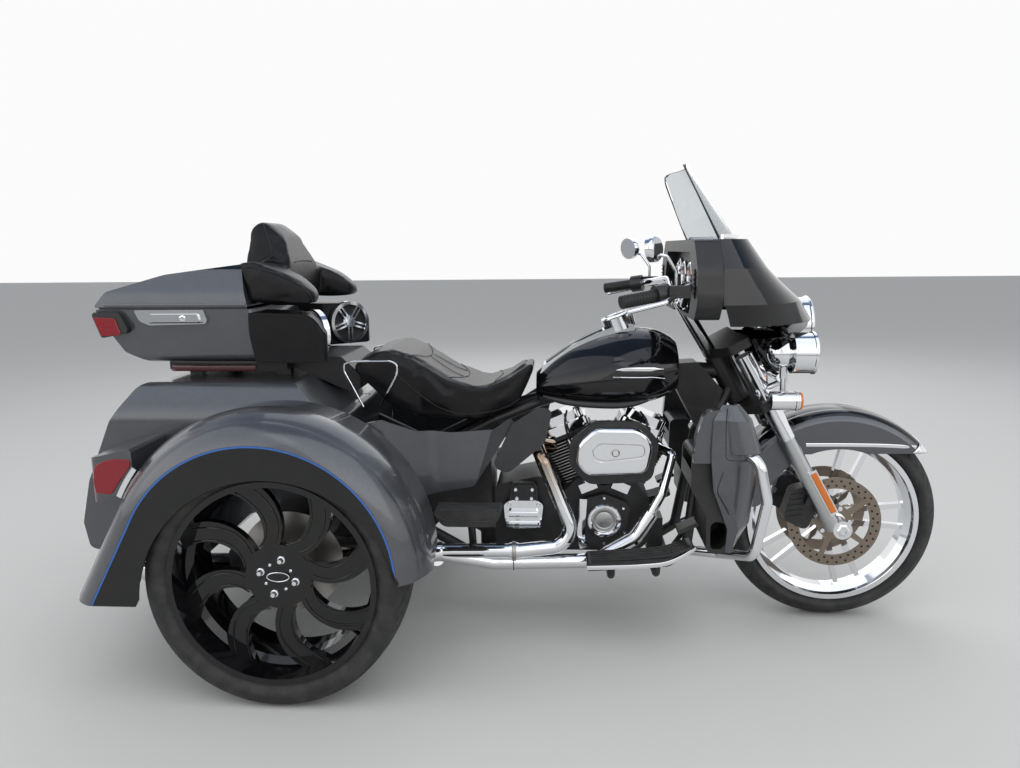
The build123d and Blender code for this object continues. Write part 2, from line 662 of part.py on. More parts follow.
def make_lamp_bar():
    """Lamp bar under the fairing: one bent bar with two round lamps and two signals."""
    bar = tube([(1440, -LAMP_Y, 846), (1470, -130, 826), (1470, 130, 826), (1440, LAMP_Y, 846)], 13, 40)
    side = Pos(1498, -LAMP_Y, 922) * Rot(0, 90, 0) * Cylinder(62, 64)
    side += Pos(1440, -LAMP_Y, 922) * Sphere(46)
    side += tube([(1446, -LAMP_Y, 884), (1446, -LAMP_Y, 846)], 12, 0)
    side += Pos(1452, -LAMP_Y - 6, 776) * Rot(0, 90, 0) * Cylinder(29, 84)
    side += tube([(1446, -LAMP_Y, 846), (1446, -LAMP_Y - 4, 790)], 9, 0)
    link = tube([(fork_x(800), -FORK_Y - 20, 800), (1470, -130, 826)], 9, 0)
    lamps = bar + side + left_of(side) + link + left_of(link)
    return biggest(lamps - make_fork() - fairing_solid(0) - make_cowl() - left_of(make_cowl()))


# Engine

def vee(shape, side):
    """Set a cylinder-axis piece at the crank centre: side -1 rear, +1 front."""
    return Pos(CRANK_X, 0, CRANK_Z) * Rot(0, side * VEE_HALF, 0) * shape


def make_cylinders():
    """Two finned cylinders with heads; each fin is a rounded plate on the barrel."""
    barrel = Pos(0, 0, (FIN_START + HEAD_END) / 2 - 12) * Cylinder(BARREL_R, HEAD_END - FIN_START + 24)
    stack = barrel
    for turn in range(FIN_COUNT):
        width = FIN_W + turn * FIN_GROWTH
        fin = extrude(RectangleRounded(width, FIN_D, 34), amount=FIN_THICK)
        stack += Pos(0, 0, FIN_START + turn * FIN_PITCH) * fin
    head_low = HEAD_END - 14
    head = extrude(RectangleRounded(FIN_W - 8, FIN_D - 10, 30), amount=HEAD_END - head_low)
    stack += Pos(0, 0, head_low) * head
    crotch = 1.5
    rear_room = box_at(CRANK_X - 400, CRANK_X - crotch, -200, 200, CRANK_Z, CRANK_Z + 500)
    front_room = box_at(CRANK_X + crotch, CRANK_X + 400, -200, 200, CRANK_Z, CRANK_Z + 500)
    case_top = make_engine_case()
    rear = biggest((vee(stack, -1) & rear_room) - case_top)
    front = biggest((vee(stack, 1) & front_room) - case_top)
    return group(rear, front)


def make_rocker_boxes():
    """Chrome rocker boxes on the heads, in two steps with rounded corners."""
    step = ROCKER_H / 2
    low = Pos(0, 0, HEAD_END) * extrude(RectangleRounded(158, 138, 26), amount=step)
    cap = Pos(0, 0, HEAD_END + step) * extrude(RectangleRounded(140, 120, 30), amount=step)
    box = low + cap
    return group(vee(box, -1), vee(box, 1))


def make_engine_case():
    """Crankcase and gearbox casting, one closed block at its real place and size."""
    rows = [
        (CRANK_X - 150, 250, 20), (CRANK_X - 140, 440, 30), (CRANK_X - 84, 500, 20), (CRANK_X, 470, 10),
        (CRANK_X + 84, 500, 20), (CRANK_X + 150, 430, 40), (CRANK_X + 150, 250, 60),
    ]
    case = side_slab(rows, -CASE_HALF, CASE_HALF)
    gearbox_rows = [(556, 262, 20), (556, 470, 30), (700, 500, 30), (775, 460, 0), (775, 250, 0)]
    return case + side_slab(gearbox_rows, -CASE_HALF + 8, CASE_HALF - 8)


def make_engine_covers():
    """Outer covers: round cam cover, gearbox side cover and the long primary cover."""
    cam = side_slab([
        (CRANK_X - 86, 300, 20), (CRANK_X - 80, 430, 30), (CRANK_X, 452, 40), (CRANK_X + 84, 420, 30),
        (CRANK_X + 70, 300, 40), (CRANK_X, 262, 40),
    ], -CASE_HALF - 26, -CASE_HALF)
    cam += Pos(CRANK_X, 0, 367) * ring_y(54, 40, -CASE_HALF - 46, -CASE_HALF - 26)
    cam += Pos(CRANK_X, 0, 367) * ring_y(40, 0, -CASE_HALF - 36, -CASE_HALF - 26)
    gear = side_slab([
        (592, 330, 30), (586, 412, 16), (604, 424, 10), (612, 486, 14), (694, 486, 14), (700, 424, 10),
        (716, 412, 16), (706, 330, 30),
    ], -CASE_HALF - 24, -CASE_HALF + 8)
    face_y = -CASE_HALF - 24
    gear += side_slab([(596, 334, 26), (594, 396, 16), (708, 396, 16), (702, 334, 26)], face_y - 14, face_y)
    gear += side_slab([(618, 428, 8), (620, 482, 10), (686, 482, 10), (690, 428, 8)], face_y - 8, face_y)
    primary = side_slab([
        (600, 268, 70), (600, 430, 70), (820, 452, 60), (1046, 452, 90), (1046, 246, 90), (760, 246, 60),
    ], CASE_HALF, CASE_HALF + 78)
    return group(cam, gear, primary)


def make_pushrod_covers():
    """Two chrome pushrod tubes on lifter blocks, leaning with the cylinders."""
    covers = []
    for side in (-1, 1):
        block = vee(Pos(0, -CASE_HALF - 10, 138) * Box(56, 44, 30), side)
        rod = tube([(0, -CASE_HALF - 10, 150), (0, -96, HEAD_END - 14)], 13, 0)
        covers.append(block + vee(rod, side))
    fins = make_cylinders() + make_engine_covers()
    return group(*[cover - fins - make_engine_case() for cover in covers])


def make_air_backplate():
    """Black backplate of the air cleaner with its intake neck from between the heads."""
    rows = [
        (800, 560, 50), (800, 640, 60), (880, 704, 60), (1020, 704, 60), (1082, 640, 50), (1060, 510, 40),
        (860, 500, 50),
    ]
    plate = side_slab(rows, -AIR_Y, -AIR_Y + 22)
    neck = Pos(936, 0, 612) * ring_y(34, 0, -AIR_Y + 22, -40)
    return plate + neck - make_cylinders() - make_rocker_boxes() - make_pushrod_covers()


AIR_RECESS = [
    # x, z, corner radius of the long shallow recess in the cover's face
    (866.0, 622.0, 26.0), (884.0, 648.0, 30.0), (1030.0, 644.0, 16.0), (1036.0, 600.0, 16.0),
    (900.0, 584.0, 30.0), (868.0, 594.0, 26.0),
]


def make_air_cover():
    """Chrome air cleaner cover, a rounded D with softened edges."""
    rows = [
        (818, 580, 40), (822, 640, 60), (880, 692, 60), (1010, 692, 70), (1062, 650, 60), (1040, 545, 40),
        (850, 538, 40),
    ]
    cover = side_slab(rows, -AIR_Y - 46, -AIR_Y)
    rim = cover.faces().sort_by(Axis.Y)[0].edges()
    recess = side_slab(AIR_RECESS, -AIR_Y - 50, -AIR_Y - 43)
    boss = Pos(942, 0, 615) * ring_y(11, 0, -AIR_Y - 46, -AIR_Y - 42)
    return fillet(rim, 14) - recess + boss


# Exhaust

def make_exhaust():
    """Two headers in heat shields that meet in a collector, and two rear silencers."""
    rear = [
        (742, -96, 600), (694, -150, 622), (716, -212, 586), (828, -232, 316), (640, -250, 300),
        (380, -262, 300),
    ]
    front = [(1090, -96, 600), (1128, -150, 590), (1092, -186, 470), (1036, -198, 366)]
    shield = [(1060, -194, 410), (1010, -202, 330), (880, -214, 256), (560, -240, 256)]
    crossover = [(380, -250, 270), (300, 0, 200), (260, 250, 250), (120, 300, 282), (-120, 330, 262)]
    pipes = tube(rear, PIPE_R, [18, 24, 62, 60]) + tube(front, 15, [20, 40]) + tube(shield, PIPE_R, [50, 60])
    pipes += tube([(560, -240, 256), (380, -262, 292)], PIPE_R, 0)
    pipes += tube([(400, -262, 298), (120, -300, 286), (-120, -330, 262)], 30, 120)
    pipes += tube(crossover, 24, 90)
    pipes += tube([(640, -250, 300), (612, -251, 300)], PIPE_R + 3, 0)
    for side in (-1, 1):
        pipes += tube([(-120, side * 330, 262), (-530, side * 330, 262)], 46, 0)
        pipes += tube([(-530, side * 330, 262), (-590, side * 330, 262)], TIP_R, 0)
        pipes += tube([(-450, side * 330, 262), (-450, side * 330, 335)], 8, 0)
    return pipes - make_cylinders() - make_engine_case() - make_body_shell()


# Tank, console and seat

TANK_ROWS = [
    # x, half width, bottom z, widest z, top z
    (692.0, 62.0, 758.0, 790.0, 832.0),
    (780.0, 112.0, 748.0, 800.0, 906.0),
    (900.0, 158.0, 742.0, 824.0, 960.0),
    (1030.0, 172.0, 746.0, 852.0, 982.0),
    (1144.0, 134.0, 790.0, 866.0, 942.0),
]


def make_fuel_tank():
    """Teardrop tank lofted through five cross sections, tunnelled over the backbone."""
    faces = []
    for x, half, low, wide, top in TANK_ROWS:
        plane = Plane(origin=(x, 0, 0), x_dir=(0, 1, 0), z_dir=(1, 0, 0))
        foot = half * 0.55
        belly = (half * 0.98, low * 0.45 + wide * 0.55)
        shoulder = (half * 0.9, wide + (top - wide) * 0.4)
        edges = [
            Line((-foot, low), (foot, low)),
            ThreePointArc((foot, low), belly, shoulder),
            ThreePointArc(shoulder, (0, top), (-shoulder[0], shoulder[1])),
            ThreePointArc((-shoulder[0], shoulder[1]), (-belly[0], belly[1]), (-foot, low)),
        ]
        faces.append(plane * make_face(edges))
    tank = loft(faces)
    rows = [(600, 600, 0), (600, 745, 0), (1050, 892, 0), (1250, 892, 0), (1250, 600, 0)]
    tunnel = side_slab(rows, -32, 32)
    return tank - tunnel


def make_tank_console():
    """Chrome console along the tank's crown, thick enough to seat on the paint."""
    rows = [
        (704, 834, 0), (714, 860, 8), (812, 930, 60), (890, 968, 60), (974, 998, 12), (1010, 996, 10),
        (1016, 940, 0), (900, 920, 0),
    ]
    strip = side_slab(rows, -46, 46)
    dial = Plane(origin=(962, 0, 1000), x_dir=(0.94, 0, 0.34), z_dir=(-0.34, 0, 0.94))
    bezel = extrude(dial.offset(-24) * Circle(52), amount=46)
    return biggest(strip + bezel - make_fuel_tank())


SEAT_ROWS = [
    # x, z, corner radius
    (112, 892, 30), (215, 938, 50), (310, 905, 40), (420, 836, 80), (520, 800, 90), (610, 838, 60),
    (676, 884, 12), (690, 868, 10), (640, 742, 40), (520, 700, 40), (300, 716, 60), (215, 762, 40),
    (112, 868, 10),
]


def make_seat():
    """Two-up seat as one closed pad: side outline met with a waisted plan."""
    pad = side_slab(SEAT_ROWS, -230, 230)
    plan = top_slab([
        (104, -196, 40), (240, -204, 60), (330, -186, 60), (450, -192, 80), (560, -150, 80), (700, -64, 20),
        (700, 64, 20), (560, 150, 80), (450, 192, 80), (330, 186, 60), (240, 204, 60), (104, 196, 40),
    ], 680, 960)
    return (pad & plan) - tank_room() - frame_room()


def tank_room():
    """The tank grown by the seat's clearance, to trim soft pieces against."""
    return Pos(-2, 0, 0) * make_fuel_tank() + make_tank_console()


def frame_room():
    """Space of the frame's upper tubes under the seat."""
    return tube([(1050, 0, 850), (700, 0, 740), (520, 0, 690)], 27, 120)


# Side covers between the seat, the frame and the rear fenders

def make_side_covers():
    """Painted covers: a flared panel under the seat and a heat shield ahead of it."""
    rows = [
        (112.3, 720, 0), (240, 742, 30), (330, 690, 40), (430, 676, 40), (560, 682, 20), (612, 716, 12),
        (628, 704, 10), (500, 500, 20), (360, 480, 10), (300, 470, 10), (112.3, 470, 0),
    ]
    side = side_slab(rows, -420, -120)
    plan = top_slab([
        (110, -406, 2), (110, -400, 0), (250, -340, 60), (372, -232, 60), (630, -196, 4), (630, -202, 4),
        (372, -238, 60), (254, -346, 60),
    ], 460, 760)
    cover = side & plan
    shield = side_slab([
        (556, 562, 24), (620, 700, 10), (700, 752, 10), (748, 748, 20), (724, 640, 60), (606, 540, 30),
    ], -214, -206)
    return group(pair(cover), pair(shield))


# Rear body, hatch and fenders

BODY_SIDE = [
    # x, z, corner radius of the side outline
    (-500.0, 850.0, 50.0), (-572.0, 742.0, 60.0), (-650.0, 560.0, 60.0), (-680.0, 430.0, 14.0),
    (-664.0, 340.0, 30.0), (-300.0, 332.0, 40.0), (-150.0, 470.0, 60.0), (112.0, 470.0, 6.0),
    (112.0, 742.0, 40.0), (-30.0, 852.0, 40.0),
]
BODY_END = [
    # y, z, corner radius of half the rear outline, right side
    (-BODY_HALF, 332.0, 30.0), (-BODY_HALF, 770.0, 80.0), (-330.0, 852.0, 60.0),
]


def make_body_shell():
    """Luggage body: side outline met with the rear outline, hollowed to one wall."""
    side_face = outline(BODY_SIDE)
    end_face = outline(both_sides(BODY_END))
    side_plane = Plane(origin=(0, 460, 0), x_dir=(1, 0, 0), z_dir=(0, -1, 0))
    end_plane = Plane(origin=(-760, 0, 0), x_dir=(0, 1, 0), z_dir=(1, 0, 0))
    outer = extrude(side_plane * side_face, amount=920) & extrude(end_plane * end_face, amount=960)
    side_in = offset(side_face, -PANEL)
    end_in = offset(end_face, -PANEL)
    inner = extrude(side_plane * side_in, amount=920) & extrude(end_plane * end_in, amount=960)
    return outer - inner


def make_rear_body():
    """Body shell with the hatch opening and holes for the axle's carriers."""
    shell = make_body_shell()
    shell -= box_at(-760, -520, -HATCH_HALF - GAP, HATCH_HALF + GAP, HATCH_LOW_Z - GAP, HATCH_HIGH_Z + GAP)
    ends = hinge_ends(HATCH_PIN, 3)
    notch = box_at(-12, 12, -10, 18, -9, 6)
    arms = box_at(-29.5, 29.5, 2, 8, -16, -2) - box_at(-10.5, 10.5, -20, 20, -8, 20)
    for y in HATCH_HINGES:
        seat = Pos(HATCH_HINGE_X, y, HATCH_HINGE_Z) * Rot(0, 0, -90)
        shell = shell - seat * notch + seat * (ends + arms)
    return shell - make_frame() - Pos(0, 0, REAR_TYRE_R) * ring_y(46, 0, -500, 500) - make_rear_axle()


def make_rear_hatch():
    """Hatch panel that fills the opening, hinged along its lower edge."""
    hatch = make_body_shell() & box_at(-760, -520, -HATCH_HALF, HATCH_HALF, HATCH_LOW_Z, HATCH_HIGH_Z)
    eye = hinge_eye(HATCH_PIN, 3)
    arm = box_at(-9, 9, 3, 11, 0, 14)
    bore = Rot(0, 90, 0) * Cylinder(3 + FIT, HATCH_PIN)
    for y in HATCH_HINGES:
        hatch += Pos(HATCH_HINGE_X, y, HATCH_HINGE_Z) * Rot(0, 0, -90) * ((eye + arm) - bore)
    return hatch


def make_rear_fender():
    """Right round fender: a crowned section turned about the wheel with a straight tail."""
    crown = FENDER_CROWN_R
    face = FENDER_FACE_Y
    low_r = 262.0
    a = (crown - 14, -FENDER_INNER_Y)
    b = (crown, -FENDER_CROWN_Y)
    bend = (crown - 6, -face + 92)
    c = (crown - 22, -face + 54)
    d = (FENDER_STRIPE_R, -face)
    curve = (crown - 46, -face + 18)
    e = (low_r, -face)
    wall = Vector(-PANEL, 0)
    lean = Vector(-PANEL * 0.7, PANEL * 0.7)
    inward = Vector(0, PANEL)
    edges = [
        Line(a, b), ThreePointArc(b, bend, c), ThreePointArc(c, curve, d), Line(d, e),
        Line(e, Vector(*e) + inward), Line(Vector(*e) + inward, Vector(*d) + inward),
        ThreePointArc(Vector(*d) + inward, Vector(*curve) + lean, Vector(*c) + wall),
        ThreePointArc(Vector(*c) + wall, Vector(*bend) + wall, Vector(*b) + wall),
        Line(Vector(*b) + wall, Vector(*a) + wall), Line(Vector(*a) + wall, a),
    ]
    start = -3.0
    profile = Rot(0, -start, 0) * make_face(edges)
    hoop = revolve(profile, axis=Axis.Y, revolution_arc=-(FENDER_SWEEP - start))
    end = Rot(0, -(FENDER_SWEEP - start), 0) * profile
    turn = radians(FENDER_SWEEP)
    tail = extrude(end, amount=320, dir=(-sin(turn), 0, cos(turn)))
    shape = Pos(FENDER_CX, 0, FENDER_CZ) * (hoop + tail)
    shape -= Pos(0, 0, FENDER_OPEN_Z) * ring_y(FENDER_OPEN_R, 0, -face - 5, -face + 60)
    shape -= box_at(-760, 600, -face - 5, 0, 0, FENDER_TAIL_Z)
    shape -= box_at(150, 600, -face - 5, 0, 0, FENDER_NOSE_Z)
    return biggest(shape)


def make_tail_lamps():
    """Red lamps: two between the rear fenders and the body and two on the trunk's corners."""
    fender = side_slab([
        (-400, 712, 10), (-520, 684, 20), (-612, 640, 16), (-606, 536, 20), (-520, 556, 10), (-400, 600, 10),
    ], -600, -BODY_HALF)
    fender = fender & top_slab([
        (-380, -BODY_HALF, 0), (-612, -BODY_HALF, 0), (-606, -450, 30), (-512, -598, 24), (-380, -598, 0),
    ], 500, 740)
    rows = [(-648, 1062, 10), (-560, 1062, 20), (-530, 1000, 14), (-620, 984, 10)]
    trunk = side_slab(rows, -TRUNK_HALF - 14, -TRUNK_HALF + 60)
    right_fender = make_rear_fender()
    fender = fender - right_fender - Pos(-SEAT_GAP, 0, 0) * right_fender
    fender = biggest(fender - Pos(0, -SEAT_GAP, 0) * make_body_shell())
    return group(pair(fender), pair(biggest(trunk - trunk_outer())))


# Top trunk

BASE_SIDE = [
    # x, z, corner radius
    (-640.0, TRUNK_SEAM_Z, 6.0), (-636.0, 1046.0, 20.0), (-568.0, 938.0, 20.0), (-500.0, 905.0, 16.0),
    (-126.0, 905.0, 14.0), (-166.0, TRUNK_SEAM_Z, 4.0),
]
LID_SIDE = [
    # x, z, corner radius
    (-646.0, 1075.0, 6.0), (-612.0, 1122.0, 30.0), (-440.0, 1172.0, 160.0), (-205.0, 1202.0, 14.0),
    (-166.0, 1075.0, 4.0),
]


def trunk_outer():
    """Solid outer form of the trunk's lower box."""
    side = side_slab(BASE_SIDE, -TRUNK_HALF - 40, TRUNK_HALF + 40)
    rows = both_sides([(-TRUNK_HALF, TRUNK_SEAM_Z, 2.0), (-TRUNK_HALF + 26, 905.0, 30.0)])
    return side & end_slab(rows, -700, 0)


def make_trunk_base():
    """Lower trunk box with one wall, open at the top, and its front bulkhead."""
    side = offset(outline(BASE_SIDE), -TRUNK_WALL)
    plane = Plane(origin=(0, 400, 0), x_dir=(1, 0, 0), z_dir=(0, -1, 0))
    half = TRUNK_HALF - TRUNK_WALL
    rows = both_sides([(-half, TRUNK_SEAM_Z + 20, 0), (-half + 26, 905.0 + TRUNK_WALL, 26.0)])
    inner = extrude(plane * side, amount=800) & end_slab(rows, -700, 0)
    inner += Pos(0, 0, TRUNK_WALL * 2) * inner
    ends = hinge_ends(TRUNK_PIN, 4)
    arms = box_at(-29.5, 29.5, -15, -4, -30, -4) - box_at(-10.5, 10.5, -20, 20, -12, 20)
    base = trunk_outer() - inner
    for x in TRUNK_HINGES:
        base += Pos(x, TRUNK_HINGE_Y, TRUNK_HINGE_Z) * (ends + arms)
    return base


def make_trunk_lid():
    """Trunk lid: hollow crowned cover with a straight seam flange."""
    seam = TRUNK_SEAM_Z + GAP
    side = outline(LID_SIDE)
    half = TRUNK_HALF + 3
    ends = outline(both_sides([(-half, seam, 2.0), (-half + 15, 1120.0, 60.0), (-half + 73, 1204.0, 60.0)]))
    plane = Plane(origin=(0, 400, 0), x_dir=(1, 0, 0), z_dir=(0, -1, 0))
    cross = Plane(origin=(-700, 0, 0), x_dir=(0, 1, 0), z_dir=(1, 0, 0))
    outer = extrude(plane * side, amount=800) & extrude(cross * ends, amount=700)
    side_in = offset(side, -TRUNK_WALL)
    ends_in = offset(ends, -TRUNK_WALL)
    inner = extrude(plane * side_in, amount=800) & extrude(cross * ends_in, amount=700)
    lid = outer - inner - Pos(0, 0, -TRUNK_WALL * 2) * inner
    eye = hinge_eye(TRUNK_PIN, 4)
    arm = box_at(-9, 9, -15, -4, 3, 20)
    bore = Rot(0, 90, 0) * Cylinder(4 + FIT, TRUNK_PIN)
    for x in TRUNK_HINGES:
        lid += Pos(x, TRUNK_HINGE_Y, TRUNK_HINGE_Z) * ((eye + arm) - bore)
    return lid


def make_backrest():
    """Backrest pad with two wrap-around arms, carried by the lid."""
    back = side_slab([
        (-236, 1206, 10), (-226, 1320, 40), (-190, 1357, 34), (-128, 1296, 70), (-86, 1196, 40),
        (-80, 1084, 20), (-168, 1084, 10),
    ], -160, 160)
    shape = end_slab(both_sides([(-156, 1080, 20), (-156, 1176, 70), (-84, 1358, 76)]), -300, 0)
    arm_side = side_slab([
        (-164, 1084, 10), (-228, 1204, 20), (-150, 1210, 60), (-30, 1160, 70), (36, 1118, 34),
        (34, 1080, 24), (0, 1078, 10),
    ], -400, 0)
    arm_plan = top_slab([
        (-240, -100, 0), (-240, -262, 60), (-120, -296, 80), (20, -294, 60), (44, -240, 40),
        (20, -196, 40), (-110, -150, 60), (-110, -100, 0),
    ], 1060, 1220)
    arms = arm_side & arm_plan
    return (back & shape) + arms + left_of(arms) - lid_room()


def lid_room():
    """The lid grown by the soft seat's clearance."""
    side = outline(LID_SIDE)
    plane = Plane(origin=(0, 400, 0), x_dir=(1, 0, 0), z_dir=(0, -1, 0))
    return extrude(plane * offset(side, SEAT_GAP), amount=800)


SPEAKER_R = 76.0
SPEAKER_PLACE = (2.0, -207.0, 984.0)


def speaker_plane():
    """Face of the right speaker, turned half way between forward and inward."""
    return Plane(origin=SPEAKER_PLACE, x_dir=(0.707, -0.707, 0), z_dir=(0.707, 0.707, 0))


def make_speaker_pods():
    """Side pods on the trunk's front corners, with a round housing for each speaker."""
    rows = [(-150, 906, 0), (-180, 1058, 0), (30, 1052, 60), (80, 960, 60), (70, 906, 20)]
    side = side_slab(rows, -TRUNK_HALF, -140)
    plan = top_slab([
        (-170, -TRUNK_HALF, 10), (70, -TRUNK_HALF + 6, 30), (62, -260, 10), (-70, -150, 10), (-170, -150, 4),
    ], 900, 1062)
    trunk = Pos(SEAT_GAP, 0, 0) * trunk_outer()
    pod = biggest((side & plan) - trunk)
    plane = speaker_plane()
    barrel = extrude(plane.offset(-40) * Circle(SPEAKER_R - 4), amount=40)
    pocket = extrude(plane * Circle(SPEAKER_R + SEAT_GAP), amount=60)
    return pair(biggest(pod + barrel - trunk - pocket))


def make_speakers():
    """Round speakers: a bezel ring with five pairs of bars over a shallow cone."""
    plane = speaker_plane()
    ring = extrude(plane * (Circle(SPEAKER_R) - Circle(SPEAKER_R - 12)), amount=18)
    plate = extrude(plane * Circle(SPEAKER_R - 8), amount=4)
    speaker = ring + plate + extrude(plane * Circle(17), amount=20)
    for turn in range(5):
        for shift in (-7, 7):
            bar = Rot(0, 0, turn * 72 + 90) * Pos(SPEAKER_R / 2, shift) * Rectangle(SPEAKER_R - 10, 6)
            speaker += extrude(plane * bar, amount=16)
    return pair(speaker)


def make_trunk_latch():
    """Chrome latch handle under the seam on the lower box's right side."""
    plate = side_slab([
        (-516, 1068, 4), (-300, 1068, 4), (-286, 1026, 12), (-470, 1022, 14), (-500, 1034, 30),
    ], -TRUNK_HALF - 9, -TRUNK_HALF + 40)
    grip = side_slab([(-470, 1056, 6), (-316, 1056, 6), (-310, 1032, 6), (-464, 1032, 6)], -316, -TRUNK_HALF)
    return biggest(plate + grip - Pos(0, -SEAT_GAP, 0) * trunk_outer())


def make_trunk_support():
    """Rack between the trunk and the rear body: platform, rails and four feet."""
    rack = box_at(-470, -90, -200, 200, 872, 905)
    for x in (-400, -110):
        for y in (-155, 155):
            rack += box_at(x - 20, x + 20, y - 15, y + 15, 852, 872)
    front = side_slab([
        (-90, 905, 0), (70, 905, 20), (130, 850, 20), (130, 800, 10), (100, 790, 0), (-90, 872, 0),
    ], -150, 150)
    return rack + front - make_body_shell() - make_seat()


# Fairing lowers, guard and foot controls

LOWER_ROWS = [
    # z, rear x, front x, outer half width and inner half width of the plan section
    (340.0, 1262.0, 1310.0, 352.0, 190.0),
    (420.0, 1262.0, 1348.0, 372.0, 190.0),
    (540.0, 1216.0, 1356.0, 388.0, 190.0),
    (616.0, 1208.0, 1355.0, 390.0, 200.0),
    (656.0, 1206.0, 1352.0, 390.0, 344.0),
    (750.0, 1210.0, 1322.0, 384.0, 344.0),
    (792.0, 1236.0, 1286.0, 368.0, 344.0),
]


def lower_shell(inset):
    """Bowed shield lofted through plan sections: straight outside, rounded to the front."""
    faces = []
    for z, rear, front, wide, inner in LOWER_ROWS:
        edge = wide - inset
        nose = front - inset
        depth = edge - inner
        start = (rear + (front - rear) * 0.35, -edge)
        curve = ThreePointArc(start, (nose - depth * 0.11, -edge + depth * 0.26), (nose, -inner))
        sides = [
            Line((rear, -edge + 6), start), curve,
            Line((nose, -inner), (rear, -inner)), Line((rear, -inner), (rear, -edge + 6)),
        ]
        faces.append(Pos(0, 0, z) * make_face(sides))
    return loft(faces, ruled=True)


def make_lower_blank():
    """Right lower fairing: the shield hollowed to one wall, open behind and inside."""
    return lower_shell(0) - Pos(-8, 10, 0) * lower_shell(2)


def make_lower_fairings():
    """Fairing lowers beside the frame's down tubes: bowed shields with an air duct behind."""
    duct = side_slab([
        (1158, 640, 20), (1230, 640, 10), (1232, 560, 30), (1290, 440, 40), (1290, 380, 60),
        (1262, 336, 30), (1206, 336, 20), (1204, 450, 40), (1156, 540, 40),
    ], -346, -150)
    hood = side_slab([
        (1158, 620, 0), (1164, 700, 20), (1188, 772, 30), (1240, 780, 10), (1240, 620, 0),
    ], -370, -330)
    opening = side_slab([
        (1140, 626, 10), (1300, 626, 0), (1300, 470, 0), (1222, 470, 20), (1172, 560, 30),
    ], -334, -164)
    well = side_slab([
        (1218, 350, 12), (1216, 440, 20), (1262, 430, 20), (1272, 380, 30), (1250, 350, 14),
    ], -350, -200)
    lower = make_lower_blank() + (duct - opening - well) + hood
    return pair(biggest(lower - make_frame() - guard_path(16 + SEAT_GAP)))


def guard_path(radius):
    """Right half of the engine guard's tube at a given radius."""
    side = [
        (1196, -128, 262), (1280, -190, 276), (1334, -396, 350), (1362, -412, 520), (1338, -408, 632),
        (1286, -340, 666), (1240, -110, 646), (1226, -72, 634),
    ]
    return tube(side, radius, [30, 46, 60, 40, 36, 20])


def make_engine_guard():
    """Chrome guard: a tube looped out each side through the lowers and back in."""
    return pair(biggest(guard_path(16) - make_frame()))


def make_rider_footboards():
    """Rider footboards with brackets, the brake pedal on the right, shifter on the left."""
    board = side_slab([
        (852, 272, 6), (852, 298, 8), (1100, 316, 60), (1176, 350, 6), (1180, 332, 6), (1100, 292, 60),
    ], -342, -242)
    rows = [(840, -342, 30), (840, -242, 4), (1190, -242, 4), (1190, -300, 30), (1080, -342, 90)]
    plan = top_slab(rows, 250, 380)
    arms = tube([(930, -140, 226), (930, -266, 226), (930, -284, 292)], 12, 20)
    arms += tube([(1070, -140, 226), (1070, -266, 236), (1070, -284, 306)], 12, 20)
    pedal = tube([(1070, -214, 232), (1136, -226, 330), (1160, -262, 392)], 8, 20)
    pad = side_slab([(1130, 376, 6), (1192, 406, 6), (1188, 418, 6), (1126, 388, 6)], -300, -240)
    return pair(biggest((board & plan) + arms + pedal + pad - make_frame()))


def make_pillion_board():
    """Right folding passenger footboard: deep rubber pad on a tray with its hinge eye."""
    tray = side_slab([(390, 472, 6), (600, 472, 6), (574, 424, 34), (420, 424, 34)], -386, PILLION_Y - 10)
    eye = hinge_eye(PILLION_PIN, 5)
    tongue = box_at(PILLION_X - 9, PILLION_X + 9, PILLION_Y - 12, PILLION_Y, PILLION_Z - 8, PILLION_Z + 8)
    board = tray + tongue
    bore = Pos(PILLION_X, PILLION_Y, PILLION_Z) * Rot(0, 90, 0) * Cylinder(5 + FIT, 90)
    return (board + Pos(PILLION_X, PILLION_Y, PILLION_Z) * eye) - bore


# Export

def export(name, shape):
    """Move to the shared origin and write one STEP file."""
    middle = (WHEELBASE + FRONT_TYRE_R - REAR_REACH) / 2
    placed = Pos(-middle, 0, 0) * shape
    export_step(placed, os.path.join("parts", name + ".step"))


os.makedirs("parts", exist_ok=True)

front_place = Pos(WHEELBASE, 0, FRONT_TYRE_R)
right_place = Pos(0, -REAR_WHEEL_Y, REAR_TYRE_R)
rear_rim = right_place * make_rear_rim()
rear_tyre = right_place * make_tyre(REAR_TYRE_R, REAR_LIP_R, REAR_TYRE_W, REAR_RIM_W, 12)
rear_hub = Pos(0, 0, REAR_TYRE_R) * make_rear_hub()
rear_fender = make_rear_fender()
pillion_board = make_pillion_board()

